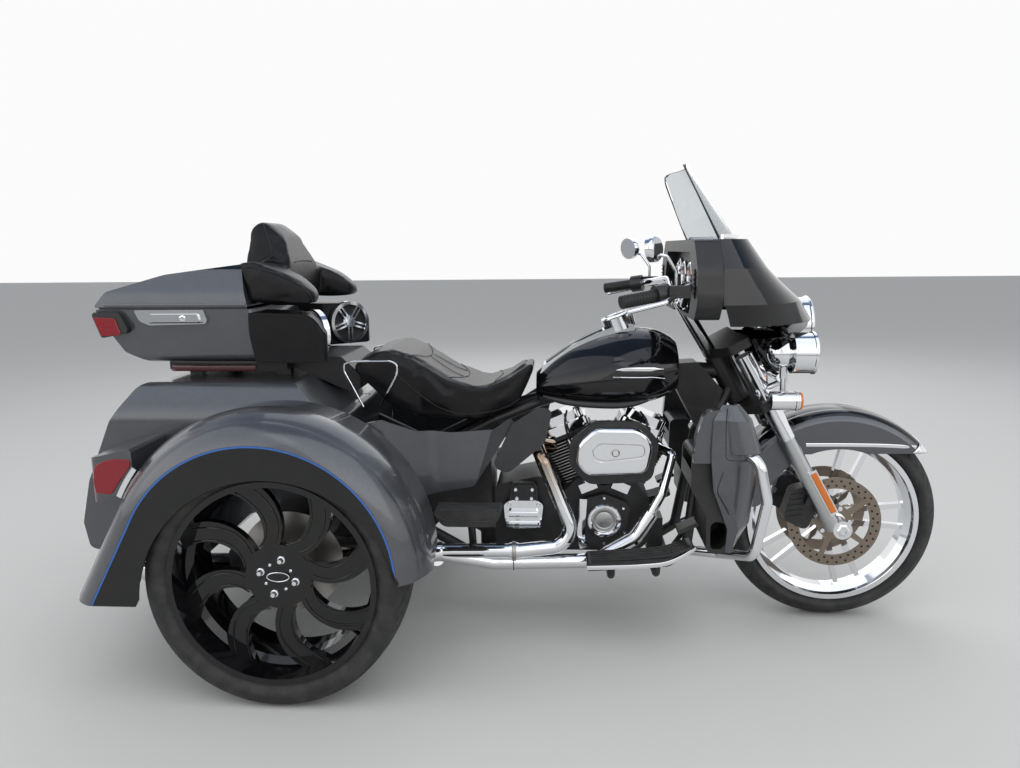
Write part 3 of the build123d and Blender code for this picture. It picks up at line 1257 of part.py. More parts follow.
NODES = {
    "front_rim": front_place * make_front_rim(),
    "front_tyre": front_place * make_tyre(FRONT_TYRE_R, FRONT_LIP_R, FRONT_TYRE_W, FRONT_RIM_W, 34),
    "front_rotors": front_place * make_front_rotors(),
    "rear_rim_right": rear_rim,
    "rear_rim_left": left_of(rear_rim),
    "rear_tyre_right": rear_tyre,
    "rear_tyre_left": left_of(rear_tyre),
    "rear_hub_right": rear_hub,
    "rear_hub_left": left_of(rear_hub),
    "rear_axle": make_rear_axle(),
    "frame": make_frame(),
    "triple_clamps": make_triple_clamps(),
    "fork": make_fork(),
    "front_calipers": make_front_calipers(),
    "front_fender": make_front_fender(),
    "fairing_outer": make_fairing_outer(),
    "fairing_inner": make_fairing_inner(),
    "windshield": make_windshield(),
    "handlebar": make_handlebar(),
    "hand_controls": make_hand_controls(),
    "mirrors": make_mirrors(),
    "headlamp": make_headlamp(),
    "lamp_bar": make_lamp_bar(),
    "engine_case": make_engine_case(),
    "engine_covers": make_engine_covers(),
    "cylinders": make_cylinders(),
    "rocker_boxes": make_rocker_boxes(),
    "pushrod_covers": make_pushrod_covers(),
    "air_backplate": make_air_backplate(),
    "air_cover": make_air_cover(),
    "exhaust": make_exhaust(),
    "fuel_tank": make_fuel_tank(),
    "tank_console": make_tank_console(),
    "seat": make_seat(),
    "side_covers": make_side_covers(),
    "rear_body": make_rear_body(),
    "rear_hatch": make_rear_hatch(),
    "rear_fender_right": rear_fender,
    "rear_fender_left": left_of(rear_fender),
    "tail_lamps": make_tail_lamps(),
    "trunk_support": make_trunk_support(),
    "trunk_base": make_trunk_base(),
    "trunk_lid": make_trunk_lid(),
    "backrest": make_backrest(),
    "speaker_pods": make_speaker_pods(),
    "speakers": make_speakers(),
    "trunk_latch": make_trunk_latch(),
    "lower_fairings": make_lower_fairings(),
    "engine_guard": make_engine_guard(),
    "rider_footboards": make_rider_footboards(),
    "pillion_board_right": pillion_board,
    "pillion_board_left": left_of(pillion_board),
}

for node_name, node_shape in NODES.items():
    export(node_name, node_shape)
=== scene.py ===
from math import cos, pi, radians, sin

import bmesh
import bpy
import numpy as np
from mathutils import Matrix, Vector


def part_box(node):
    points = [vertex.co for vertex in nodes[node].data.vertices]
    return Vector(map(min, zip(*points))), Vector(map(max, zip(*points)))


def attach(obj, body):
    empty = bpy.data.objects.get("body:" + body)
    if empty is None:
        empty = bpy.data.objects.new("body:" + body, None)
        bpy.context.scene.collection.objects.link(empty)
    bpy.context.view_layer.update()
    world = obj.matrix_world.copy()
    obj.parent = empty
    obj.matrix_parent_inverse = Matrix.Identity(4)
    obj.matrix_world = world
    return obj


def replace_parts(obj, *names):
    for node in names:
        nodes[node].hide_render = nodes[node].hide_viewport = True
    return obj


# A full-dress touring trike: charcoal and black paint, chrome, black leather, two wide
# gloss-black rear wheels. Sizes are in metres in the frame of the CAD part: X forward,
# Y to the rider's left, Z up from the ground.
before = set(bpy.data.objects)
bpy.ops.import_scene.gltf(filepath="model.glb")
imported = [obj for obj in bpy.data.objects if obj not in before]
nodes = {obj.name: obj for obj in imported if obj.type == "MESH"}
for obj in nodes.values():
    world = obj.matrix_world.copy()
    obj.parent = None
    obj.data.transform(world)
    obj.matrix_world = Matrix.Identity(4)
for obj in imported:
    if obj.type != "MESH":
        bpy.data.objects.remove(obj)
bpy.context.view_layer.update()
REAR_AXLE_X = float(sum(np.array(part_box("rear_rim_right"))[:, 0]) / 2)


# Painted body panels: pressed steel and moulded panels in charcoal metallic paint under
# clear coat, bolted to the frame; the tank, the fairing and the wheels are gloss black.

def fill(tree, node, given):
    """Sets each socket of a shader node to its number or colour, or links it to the output
    given for it."""
    for socket, value in given.items():
        if isinstance(value, bpy.types.NodeSocket):
            tree.links.new(value, node.inputs[socket])
        else:
            node.inputs[socket].default_value = value


def shader_node(tree, kind, given):
    """A new shader node with its sockets filled."""
    node = tree.nodes.new("ShaderNode" + kind)
    fill(tree, node, given)
    return node


def sum_of(tree, kind, *values):
    """What a Math node of the given kind makes of its values."""
    node = tree.nodes.new("ShaderNodeMath")
    node.operation = kind
    fill(tree, node, dict(enumerate(values)))
    return node.outputs[0]


def ramp(tree, value, low, high):
    """0 where the value is low, 1 where it is high, even between them and held beyond."""
    given = {"Value": value, "From Min": low, "From Max": high}
    return shader_node(tree, "MapRange", given).outputs["Result"]


def mixed(tree, factor, under, over):
    """The colour under and the colour over it, mixed by the factor."""
    node = tree.nodes.new("ShaderNodeMix")
    node.data_type = "RGBA"
    fill(tree, node, {"Factor": factor, "A": under, "B": over})
    return node.outputs["Result"]


def object_place(tree):
    """The place of each point in the object's own frame."""
    return tree.nodes.new("ShaderNodeTexCoord").outputs["Object"]


def film_group():
    """Cloudy dust and metal flecks: two noises on Object coordinates lighten the colour, and
    the dust adds as much to the roughness."""
    tree = bpy.data.node_groups.new("dust film", "ShaderNodeTree")
    for way, names in (("INPUT", ("Roughness", "Dust", "Fleck")), ("OUTPUT", ("Roughness",))):
        tree.interface.new_socket("Colour", in_out=way, socket_type="NodeSocketColor")
        for name in names:
            tree.interface.new_socket(name, in_out=way, socket_type="NodeSocketFloat")
    given = tree.nodes.new("NodeGroupInput").outputs
    place = object_place(tree)
    cloud = shader_node(tree, "TexNoise", {"Vector": place, "Scale": 22.0, "Detail": 5.0})
    dust = sum_of(tree, "MULTIPLY", ramp(tree, cloud.outputs["Fac"], 0.42, 0.78), given["Dust"])
    speck = shader_node(tree, "TexNoise", {"Vector": place, "Scale": 1500.0, "Detail": 0.0})
    fleck = sum_of(tree, "MULTIPLY", ramp(tree, speck.outputs["Fac"], 0.52, 0.7), given["Fleck"])
    dusty = mixed(tree, dust, given["Colour"], (0.36, 0.34, 0.31, 1))
    fill(tree, tree.nodes.new("NodeGroupOutput"), {
        "Colour": mixed(tree, fleck, dusty, (0.7, 0.72, 0.76, 1)),
        "Roughness": sum_of(tree, "ADD", given["Roughness"], dust)})
    return tree


def relief_group():
    """Grain: a noise of the given scale on Object coordinates, put out as a height."""
    tree = bpy.data.node_groups.new("surface grain", "ShaderNodeTree")
    for name, way in (("Scale", "INPUT"), ("Height", "OUTPUT")):
        tree.interface.new_socket(name, in_out=way, socket_type="NodeSocketFloat")
    scale = tree.nodes.new("NodeGroupInput").outputs["Scale"]
    noise = shader_node(tree, "TexNoise", {"Vector": object_place(tree), "Scale": scale, "Detail": 2.0})
    fill(tree, tree.nodes.new("NodeGroupOutput"), {"Height": noise.outputs["Fac"]})
    return tree


DUST_FILM, SURFACE_GRAIN = film_group(), relief_group()


def finish(name, colour, rough, metal=0.0, coat=0.0, dust=0.012, fleck=0.0, grain=None, gleam=0.5):
    """A Principled material under the dust film; grain is its scale and depth in mm, and
    gleam is how strongly its surface mirrors, 0.5 for bare plastic and less for oiled skin."""
    material = bpy.data.materials.new(name)
    material.use_nodes = True
    tree = material.node_tree
    film = tree.nodes.new("ShaderNodeGroup")
    film.name, film.node_tree = "film", DUST_FILM
    fill(tree, film, {"Colour": (*colour, 1), "Roughness": rough, "Dust": dust, "Fleck": fleck})
    fill(tree, tree.nodes["Principled BSDF"], {
        "Metallic": metal, "Specular IOR Level": gleam, "Coat Weight": coat, "Coat Roughness": 0.03,
        "Base Color": film.outputs["Colour"], "Roughness": film.outputs["Roughness"]})
    if grain:
        relief = tree.nodes.new("ShaderNodeGroup")
        relief.node_tree = SURFACE_GRAIN
        relief.inputs["Scale"].default_value = grain[0]
        raise_surface(tree, 0.6, grain[1] / 1000, relief.outputs["Height"])
    return material


def raise_surface(tree, strength, depth, height):
    """A material's bump: the height times the depth in metres."""
    bump = shader_node(tree, "Bump", {"Strength": strength, "Distance": depth, "Height": height})
    fill(tree, tree.nodes["Principled BSDF"], {"Normal": bump.outputs["Normal"]})


def values_of(items, what, kind=float):
    """One property of all a mesh's items, as rows of three."""
    flat = np.empty(len(items) * 3, kind)
    items.foreach_get(what, flat)
    return flat.reshape(-1, 3)


def face_arrays(name):
    """Centres in millimetres from under the rear axle, and normals, of a node's faces."""
    faces = nodes[name].data.polygons
    return (values_of(faces, "center") - (REAR_AXLE_X, 0, 0)) * 1000, values_of(faces, "normal")


def coat_node(name, *materials, choice=0):
    """Gives a CAD node its materials; choice is the number of each face's, or of all."""
    mesh = nodes[name].data
    mesh.materials.clear()
    for material in materials:
        mesh.materials.append(material)
    mesh.polygons.foreach_set("material_index", np.full(len(mesh.polygons), choice, int))


CHARCOAL = finish("charcoal metallic", (0.08, 0.084, 0.093), 0.3, metal=0.6, coat=0.6, dust=0.03, fleck=0.1)
GLOSS_BLACK = finish("gloss black paint", (0.004, 0.004, 0.005), 0.07)
SATIN_BLACK = finish("satin black", (0.012, 0.012, 0.013), 0.42, dust=0.04, grain=(900, 0.1))
for name in ("rear_body", "rear_hatch", "trunk_base"):
    coat_node(name, CHARCOAL)
for name in ("fuel_tank", "fairing_outer", "rear_rim_right", "rear_rim_left"):
    coat_node(name, GLOSS_BLACK)
for name in ("frame", "trunk_support"):
    coat_node(name, SATIN_BLACK)

# The heat shield ahead of each side cover is a satin dark moulding, not painted metal.
SHIELD_GREY = finish("satin shield grey", (0.03, 0.031, 0.034), 0.42, dust=0.03, grain=(800, 0.1))
centres, normals = face_arrays("side_covers")
ahead_of_seam = centres[:, 0] - 540 > (centres[:, 2] - 700) * 2.2
shield = (centres[:, 0] > 540) & (np.abs(centres[:, 1]) < 220) & ahead_of_seam
coat_node("side_covers", CHARCOAL, SHIELD_GREY, choice=shield)


# Rear fenders: deep round pressings, charcoal on the crown, gloss black on the flat side
# inside a thin blue hand-laid pinstripe that follows the crown and runs down the tail.
FENDER_X, FENDER_Z = -30.0, 375.0
TAIL_TURN = radians(152.0)
STRIPE_FROM, STRIPE_TO = 0.368, 0.3732
STRIPE_BLUE = (0.035, 0.13, 0.42, 1)


def fender_side():
    """Black paint with a stripe where the distance from the fender's middle, taken along
    the tail's normal beyond its turn, lies between the stripe's edges."""
    material = finish("fender side paint", (0.004, 0.004, 0.005), 0.07)
    tree = material.node_tree

    def work(kind, *values):
        return sum_of(tree, kind, *values)

    parts = shader_node(tree, "SeparateXYZ", {0: object_place(tree)}).outputs
    dx = work("SUBTRACT", parts["X"], FENDER_X / 1000 + REAR_AXLE_X)
    dz = work("SUBTRACT", parts["Z"], FENDER_Z / 1000)
    across = work("MULTIPLY_ADD", dx, cos(TAIL_TURN), work("MULTIPLY", dz, sin(TAIL_TURN)))
    along = work("MULTIPLY_ADD", dx, -sin(TAIL_TURN), work("MULTIPLY", dz, cos(TAIL_TURN)))
    circle = work("SQRT", work("MULTIPLY_ADD", dx, dx, work("MULTIPLY", dz, dz)))
    tail = work("MULTIPLY", work("GREATER_THAN", along, 0.0), work("GREATER_THAN", across, 0.0))
    away = shader_node(tree, "Mix", {"Factor": tail, "A": circle, "B": across}).outputs["Result"]
    stripe = work("MULTIPLY", work("GREATER_THAN", away, STRIPE_FROM), work("LESS_THAN", away, STRIPE_TO))
    fill(tree, tree.nodes["film"], {"Colour": mixed(tree, stripe, (0.004, 0.004, 0.005, 1), STRIPE_BLUE)})
    return material


FENDER_SIDE = fender_side()
for name in ("rear_fender_right", "rear_fender_left"):
    centres, normals = face_arrays(name)
    flat = (np.abs(normals[:, 1]) > 0.985) & (np.abs(centres[:, 1]) > 690)
    coat_node(name, CHARCOAL, FENDER_SIDE, choice=flat)


# Tyres: black rubber, dusty on the walls, with moulded grooves round and across the tread.
RUBBER = finish("tyre rubber", (0.015, 0.015, 0.015), 0.66, dust=0.1, grain=(500, 0.2))


def stood(name, data):
    """A new object with its mesh, lamp or camera, put into the scene."""
    thing = bpy.data.objects.new(name, data)
    bpy.context.scene.collection.objects.link(thing)
    return thing


def skins(name, grids, material, body="chassis", wrap_u=False, wrap_v=True, sharp=35.0):
    """One mesh from grids of points, each (rows, columns, xyz). Cell (i, j) joins points
    (i, j), (i+1, j), (i+1, j+1) and (i, j+1); a wrapped direction joins back to 0, and the
    two ends of a wrapped tube close on the middle of their rings."""
    rows, cols = np.shape(grids)[-3:-1]
    grids = np.asarray(grids, float).reshape(-1, rows, cols, 3)
    copies = len(grids)
    index = np.arange(rows * cols).reshape(rows, cols)
    if wrap_v:
        index = np.concatenate([index, index[:, :1]], 1)
    if wrap_u:
        index = np.concatenate([index, index[:1]], 0)
    cells = np.stack([index[:-1, :-1], index[1:, :-1], index[1:, 1:], index[:-1, 1:]], -1).reshape(-1, 4)
    points = grids.reshape(copies, -1, 3)
    ends = np.empty((0, 3), int)
    if wrap_v and not wrap_u:
        middles = [grids[:, 0].mean(1)[:, None], grids[:, -1].mean(1)[:, None]]
        points = np.concatenate([points, *middles], 1)
        low = np.stack([index[0, 1:], index[0, :-1], np.full(cols, rows * cols)], -1)
        high = np.stack([index[-1, :-1], index[-1, 1:], np.full(cols, rows * cols + 1)], -1)
        ends = np.concatenate([low, high])
    shift = np.arange(copies)[:, None, None] * points.shape[1]
    faces = (cells[None] + shift).reshape(-1, 4).tolist() + (ends[None] + shift).reshape(-1, 3).tolist()
    mesh = bpy.data.meshes.new(name)
    mesh.from_pydata(points.reshape(-1, 3), [], faces)
    turned_out = bmesh.new()
    turned_out.from_mesh(mesh)
    bmesh.ops.recalc_face_normals(turned_out, faces=turned_out.faces)
    turned_out.to_mesh(mesh)
    turned_out.free()
    mesh.shade_smooth()
    mesh.set_sharp_from_angle(angle=radians(sharp))
    mesh.materials.append(material)
    piece = stood(name, mesh)
    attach(piece, body)
    return piece


def tyre(name, body, centre, outer, lip, width, rim_width, drop, pitches, ribs, groove):
    """Section (radius, y) turned about the axle: wall arcs from bead to shoulder and a tread
    outer - drop * (y / edge)^2, less a groove where y is on a rib's edge or, at the
    shoulders, where the turn plus a slant of y passes through each pitch's cut."""
    half, edge = width / 2, width * 0.45
    bead_half, bead = rim_width / 2 - 8, lip - 9.7
    wall = np.linspace(0, 1, 12)
    shoulder = outer - drop
    wall_r = lip + 2 + (shoulder - lip - 2) * wall
    bow = np.sin(pi * wall) * (half - (bead_half + edge) / 2) * 0.94
    wall_y = bead_half + (edge - bead_half) * wall + bow
    tread_y = np.linspace(-edge, edge, 49)[1:-1]
    radius = np.concatenate([[bead], wall_r, outer - drop * (tread_y / edge) ** 2, wall_r[::-1], [bead]])
    across = np.concatenate([[-bead_half], -wall_y, tread_y, wall_y[::-1], [bead_half]])
    turn = np.linspace(0, 2 * pi, pitches * 6, endpoint=False)
    ring = np.zeros_like(across)
    tread = (radius > shoulder + 0.5)
    for y in ribs:
        ring = np.maximum(ring, np.clip(1.6 - np.abs(np.abs(across) - y) / 2.6, 0, 1))
    phase = turn[:, None] * pitches / (2 * pi) + np.abs(across)[None] / edge * 1.4
    cut = (phase % 1.0 < 0.2) & (np.abs(across) > edge * 0.45)[None]
    depth = np.maximum(ring[None], cut * 0.8) * tread[None] * groove
    r = (radius[None] - depth) / 1000
    y = np.broadcast_to(across[None] / 1000, r.shape)
    turn = turn[:, None]
    grid = np.stack([centre[0] + r * np.cos(turn), centre[1] + y, centre[2] + r * np.sin(turn)], -1)
    return skins(name, grid, RUBBER, body, wrap_u=True, sharp=40)


def middle_of(node):
    """Middle of a CAD node's box."""
    return np.array(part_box(node)).mean(0)


for side in ("right", "left"):
    node = "rear_tyre_" + side
    size = (360, 286.5, 255, 244, 12, 52, (26.0, 70.0), 6.5)
    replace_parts(tyre("tyre_rear_" + side, "rear_wheel_" + side, middle_of(node), *size), node)
size = (345, 277, 130, 110, 34, 48, (14.0,), 5.0)
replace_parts(tyre("tyre_front", "front_wheel", middle_of("front_tyre"), *size), "front_tyre")


# Rear wheels: cast and machined, gloss black, with ribbed curved blades; each is held by
# four chrome lug bolts with four small screws between them round a blank oval cap.
CHROME = finish("chrome plate", (0.8, 0.81, 0.83), 0.07, metal=1.0)
# Near-black: the real dark of seams, gaps and speaker cones, and painted shade in the rotor holes and in the
# heat shield's slots.
DARK_AND_HOLE_SHADE = finish("near-black and painted hole shade", (0.006, 0.006, 0.006), 0.6)


def at(rows):
    """Points in millimetres from under the rear axle as an array in metres."""
    return np.asarray(rows, float).reshape(-1, 3) / 1000 + (REAR_AXLE_X, 0.0, 0.0)


def unit(rows):
    """Rows, or one row, scaled to length 1."""
    return rows / np.linalg.norm(rows, axis=-1, keepdims=True)


def turned(centres, axis, profile, sides=24):
    """Surface of revolution: centre + h * axis + r * (cos a * U + sin a * V), for centres and
    profile rows (r, h) in millimetres and U, V square to the axis; a copy at each centre."""
    axis = unit(axis)
    spare = (0.0, 0.0, 1.0) if abs(axis[2]) < 0.9 else (1.0, 0.0, 0.0)
    u = unit(np.cross(axis, spare))
    v = np.cross(axis, u)
    a = np.linspace(0, 2 * pi, sides, endpoint=False)[:, None]
    r, h = np.asarray(profile, float).T / 1000
    ring = np.cos(a) * u + np.sin(a) * v
    return at(centres)[:, None, None] + h[:, None, None] * axis + r[:, None, None] * ring


def both(grids):
    """The grids and their mirror images on the left side."""
    return np.stack([grids, grids * np.array([1, -1, 1])])


def swept(path, wide, tall, sides=12, up=(0, 0, 1), boxy=1.0, closed=False):
    """Section carried along a path: path + wide * c * side + tall * s * top, where side is
    tangent x up, top is side x tangent, and c, s are cos a and sin a to the power boxy."""
    along = unit(np.roll(path, -1, 0) - np.roll(path, 1, 0) if closed else np.gradient(path, axis=0))
    side = unit(np.cross(along, up))
    top = np.cross(side, along)
    a = np.linspace(0, 2 * pi, sides, endpoint=False)
    c = np.sign(np.cos(a)) * np.abs(np.cos(a)) ** boxy
    s = np.sign(np.sin(a)) * np.abs(np.sin(a)) ** boxy
    wide, tall = (np.broadcast_to(reach, len(path))[:, None, None] / 1000 for reach in (wide, tall))
    return path[:, None] + wide * c[:, None] * side[:, None] + tall * s[:, None] * top[:, None]


def bent(rows, corner=20.0, step=5.0):
    """Even points along a polyline in millimetres, each the mean of its neighbours over the
    corner's length, with the ends held by an odd reflection."""
    points = at(rows)
    run = np.concatenate([[0], np.cumsum(np.linalg.norm(np.diff(points, axis=0), axis=1))])
    count = max(3, int(run[-1] * 1000 / step) + 1)
    even = np.linspace(0, run[-1], count)
    path = np.stack([np.interp(even, run, points[:, k]) for k in range(3)], -1)
    reach = min(int(corner / step), count - 1)
    if reach < 1:
        return path
    wide = np.pad(path, ((reach, reach), (0, 0)), mode="reflect", reflect_type="odd")
    total = np.cumsum(np.concatenate([np.zeros((1, 3)), wide]), axis=0)
    return (total[2 * reach + 1:] - total[:-2 * reach - 1]) / (2 * reach + 1)


def round_axle(centre, radius, degrees):
    """Places round an axle along Y, in millimetres: centre + radius * (cos a, 0, sin a)."""
    a = np.radians(degrees)
    return np.add(centre, np.stack([radius * np.cos(a), 0 * a, radius * np.sin(a)], -1))


BIG_LUGS = (77.0, 164.0, -15.0, 255.0)
SMALL_SCREWS = (123.0, 27.0, -60.0, 209.0)
HUB_FACE_Y, REAR_AXLE_Z = 620.0, 360.0
for side, sign in (("right", -1), ("left", 1)):
    body, out = "rear_wheel_" + side, (0, sign, 0)
    hub = np.array([0, sign * HUB_FACE_Y, REAR_AXLE_Z])
    bolt, screw = [(11, -2), (11, 4), (8, 5), (8, 15), (6, 18), (2, 18.5)], [(4.5, -2), (4.5, 4), (3.4, 5),
        (1, 5)]
    skins("lug_bolts_" + side, turned(round_axle(hub, 50, BIG_LUGS), out, bolt, 18), CHROME, body)
    skins("hub_screws_" + side, turned(round_axle(hub, 40, SMALL_SCREWS), out, screw, 12), CHROME, body)
    oval = round_axle(hub + (0, sign * 4, 0), 31, np.arange(0, 360, 9))
    cap = turned(hub, out, [(31, -1), (31, 3), (26, 4.4), (2, 4.8)], 40)
    oval[:, 2] = REAR_AXLE_Z + (oval[:, 2] - REAR_AXLE_Z) * 13 / 31
    cap[..., 2] = REAR_AXLE_Z / 1000 + (cap[..., 2] - REAR_AXLE_Z / 1000) * 0.42
    edge = swept(at(oval), 1.6, 1.6, 8, up=(0, 1, 0), closed=True)
    skins("cap_edge_" + side, edge, CHROME, body, wrap_u=True)
    skins("cap_" + side, cap, GLOSS_BLACK, body)
    ribs = []
    t = np.linspace(0, 1, 17)[:, None]
    for turn_by in range(16, 16 - 360, -45):
        for reach, lean in (((96, 180, 266), (-13, -16, -1)), ((96, 168, 266), (13, -5, 9))):
            a, b, c = round_axle(hub + (0, sign * 0.5, 0), np.array(reach), np.add(lean, turn_by))
            arc = a * (1 - t) * (1 - 2 * t) + b * 4 * t * (1 - t) + c * t * (2 * t - 1)
            ribs.append(swept(at(arc), 2.6, 2.2, 8, up=(0, 1, 0)))
    skins("blade_ribs_" + side, ribs, GLOSS_BLACK, body)
    valve = turned((170, sign * 580, 196), out, [(3.5, 0), (3.5, 26), (4.6, 27), (4.6, 36), (2, 37)], 12)
    skins("valve_" + side, valve, SATIN_BLACK, body)


# Front wheel: chrome cast rim with five pairs of bars; drilled rotors, browned by heat,
# are bolted to the hub on both sides.
STEEL = finish("turned steel", (0.42, 0.4, 0.38), 0.35, metal=1.0, grain=(400, 0.05))
for name in ("rear_hub_right", "rear_hub_left"):
    coat_node(name, STEEL)
coat_node("front_rim", CHROME)
coat_node("front_rotors", finish("browned rotor steel", (0.25, 0.205, 0.165), 0.38, metal=1.0, dust=0.08,
    grain=(700, 0.05)))
FRONT_AXLE = np.array([1670, 0, 345])
# The drilled holes are thin near-black discs on both rotor faces: painted shade in place of open holes.
holes = [round_axle(FRONT_AXLE + (0, y, 0), radius, np.arange(0, 360, 12) + shift)
         for y in (-74.6, 74.6) for radius, shift in ((139, 0), (124, 6.016))]
skins("rotor_hole_shade", turned(holes, (0, 1, 0), [(4.0, -0.5), (4.0, 0.5)], 10), DARK_AND_HOLE_SHADE, "front_wheel")
bolts = [round_axle(FRONT_AXLE + (0, y, 0), 48, np.arange(0, 360, 72)) for y in (-74.5, 74.5)]
skins("rotor_bolts", turned(bolts, (0, 1, 0), [(7, -6), (8, -5), (8, 5), (7, 6)], 16), CHROME, "front_wheel")
cap = [(34, -2), (34, 6), (30, 9), (22, 10), (20, 24), (16, 25)]
skins("front_hub_caps", both(turned(FRONT_AXLE - (0, 76, 0), (0, -1, 0), cap, 32)), CHROME, "front_wheel")


# Front brakes: black cast calipers with cooling fins and two bolts, on the fork legs.
BLACK_CASTING = finish("black wrinkle casting", (0.013, 0.013, 0.014), 0.46, dust=0.05, grain=(420, 0.4))
coat_node("front_calipers", BLACK_CASTING)
fins = [swept(bent([(1506, -110, z), (1556, -110, z + 6)], 0), 2.2, 3.0, 8, boxy=0.4)
    for z in range(372, 480, 18)]
skins("caliper_fins", both(fins), BLACK_CASTING, "steering")
bolts = turned([(1590, -130, 440), (1576, -130, 464)], (0, -1, 0), [(8, -2), (8, 4), (5, 5), (1, 5)], 12)
skins("caliper_bolts", both(bolts), CHROME, "steering")


# Fork: chrome upper covers and satin aluminium lower legs with an amber side reflector
# in a chrome frame on each leg, and chrome nuts on the axle.
ALUMINIUM = finish("satin aluminium", (0.5, 0.51, 0.52), 0.28, metal=1.0, grain=(600, 0.04))
AMBER = finish("amber lens", (0.68, 0.17, 0.006), 0.14, coat=0.6, grain=(260, 0.5))
centres, normals = face_arrays("fork")
coat_node("fork", CHROME, ALUMINIUM, choice=(centres[:, 2] < 640) & (centres[:, 2] > 372))
coat_node("handlebar", CHROME)
centres, normals = face_arrays("triple_clamps")
coat_node("triple_clamps", SATIN_BLACK, CHROME, choice=centres[:, 2] > 990)
ends = np.array([(1640, -157, 400), (1562, -157, 540)], float)
for name, rows, wide, material in (
    ("reflector_frames", ends, 14, CHROME), ("reflectors", ends + [(-4, -3, 7), (4, -3, -7)], 10, AMBER),
):
    skins(name, both(swept(bent(rows, 0), wide, 4, 16, up=(0, 1, 0), boxy=0.5)), material, "steering")
nut = turned(FRONT_AXLE - (0, 158, 0), (0, -1, 0), [(20, -8), (20, 3), (16, 6), (10, 7), (9, 5), (1, 5)], 6)
skins("axle_nuts", both(nut), CHROME, "steering", sharp=20)


# Front fender: deep pressing in black over charcoal, with a chrome strip along each side
# and a chrome band round its front edge.
centres, normals = face_arrays("front_fender")
coat_node("front_fender", CHARCOAL, GLOSS_BLACK, choice=np.abs(normals[:, 1]) < 0.75)
strip = bent([(1560, -92, 609), (1700, -93, 610), (1830, -92, 608), (1906, -89, 602)], 60)
skins("fender_strips", both(swept(strip, 2.2, 6.0, 12, boxy=0.6)), CHROME, "steering")
t = np.linspace(0, 1, 9)[:, None]
crown = np.array([(378.0, 0), (377.4, 20), (374.0, 42)])
a, b, c = np.array([(374.0, 42), (371.5, 92), (342.0, 94)])
corner = a * (1 - t) ** 2 + b * 2 * t * (1 - t) + c * t ** 2
half = np.concatenate([crown, corner[1:], [(290.0, 94)]])
run = np.concatenate([[0], np.cumsum(np.linalg.norm(np.diff(half, axis=0), axis=1))])
turn = np.radians(np.linspace(39.9, 46.8, 8))[:, None]
share = np.linspace(-1, 1, 41) * np.interp(-239.0 / np.sin(turn), -half[:, 0], run)
reach, across = (np.interp(np.abs(share), run, half[:, k]) / 1000 for k in (0, 1))
axle = middle_of("front_tyre")
tip = np.stack([axle[0] + reach * np.cos(turn), across * np.sign(share), axle[2] + reach * np.sin(turn)], -1)
band = skins("fender_tip", tip, CHROME, "steering", wrap_v=False)
thick = band.modifiers.new("plate", "SOLIDIFY")
thick.thickness = 0.002
thick.offset = 0.0


# Fairing: a gloss black moulded shell on the fork with a black inner dash, round gauges in
# chrome bezels and two vents; the smoked windshield is clamped behind a chrome base trim.
BLACK_MOULDING = finish("black moulding", (0.016, 0.016, 0.017), 0.38, dust=0.03, grain=(800, 0.12))
coat_node("fairing_inner", BLACK_MOULDING)
WINDSHIELD = finish("smoked windshield", (0.66, 0.69, 0.71), 0.03)
clear = WINDSHIELD.node_tree
fill(clear, clear.nodes["Principled BSDF"], {"Transmission Weight": 1.0, "IOR": 1.15})
coat_node("windshield", WINDSHIELD)
side = np.linspace(-1, 1, 49)
base = np.stack([1230 + 98 * (1 - side ** 2), 306 * side, np.full(49, 1268)], -1)
skins("windshield_trim", swept(at(base), 4.0, 8.0, 12, boxy=0.5), CHROME, "steering")
rail = [(1224, -298, 1266), (1202, -290, 1310), (1136, -240, 1455), (1130, -214, 1476), (1134, -180, 1481)]
skins("windshield_edges", both(swept(bent(rail, 14), 2.4, 2.4, 8)), BLACK_MOULDING, "steering")
GAUGE = finish("gauge face", (0.01, 0.01, 0.012), 0.15)
for name, radius, places in (
    ("gauges_large", 42, [(1186, 62, 1150), (1186, -62, 1150)]),
    ("gauges_small", 26, [(1186, 150, 1176), (1186, -150, 1176), (1186, 208, 1160), (1186, -208, 1160)]),
):
    rim = [(radius + 4, -2), (radius + 4, 6), (radius, 9), (radius - 3, 7), (radius - 4, 4)]
    face = [(radius - 3.5, 2), (radius - 3.5, 4.6), (1, 5)]
    skins(name + "_bezels", turned(places, (-1, 0, 0), rim, 32), CHROME, "steering", wrap_u=True)
    skins(name + "_faces", turned(places, (-1, 0, 0), face, 32), GAUGE, "steering")
needle = [swept(bent([(1179, y, 1150), (1179, y + 22, 1170)], 0), 1.0, 1.0, 6) for y in (62, -62)]
skins("gauge_needles", needle, finish("needle orange", (0.8, 0.12, 0.02), 0.4), "steering")
marks = [(1180, y + 33 * cos(t), 1150 + 33 * sin(t)) for y in (62, -62)
    for t in np.radians(range(-45, 226, 30))]
marks = turned(marks, (-1, 0, 0), [(1.6, 0), (1.6, 1.2), (0.4, 1.3)], 6)
skins("dial_marks", marks, finish("dial marks", (0.75, 0.75, 0.72), 0.5), "steering")
louvres = [swept(bent([(1147, y, z), (1147, y + 34, z + 6)], 0), 3, 1.4, 8, boxy=0.5)
           for y in (-370, 336) for z in range(1104, 1172, 13)]
skins("vent_louvres", louvres, SATIN_BLACK, "steering")


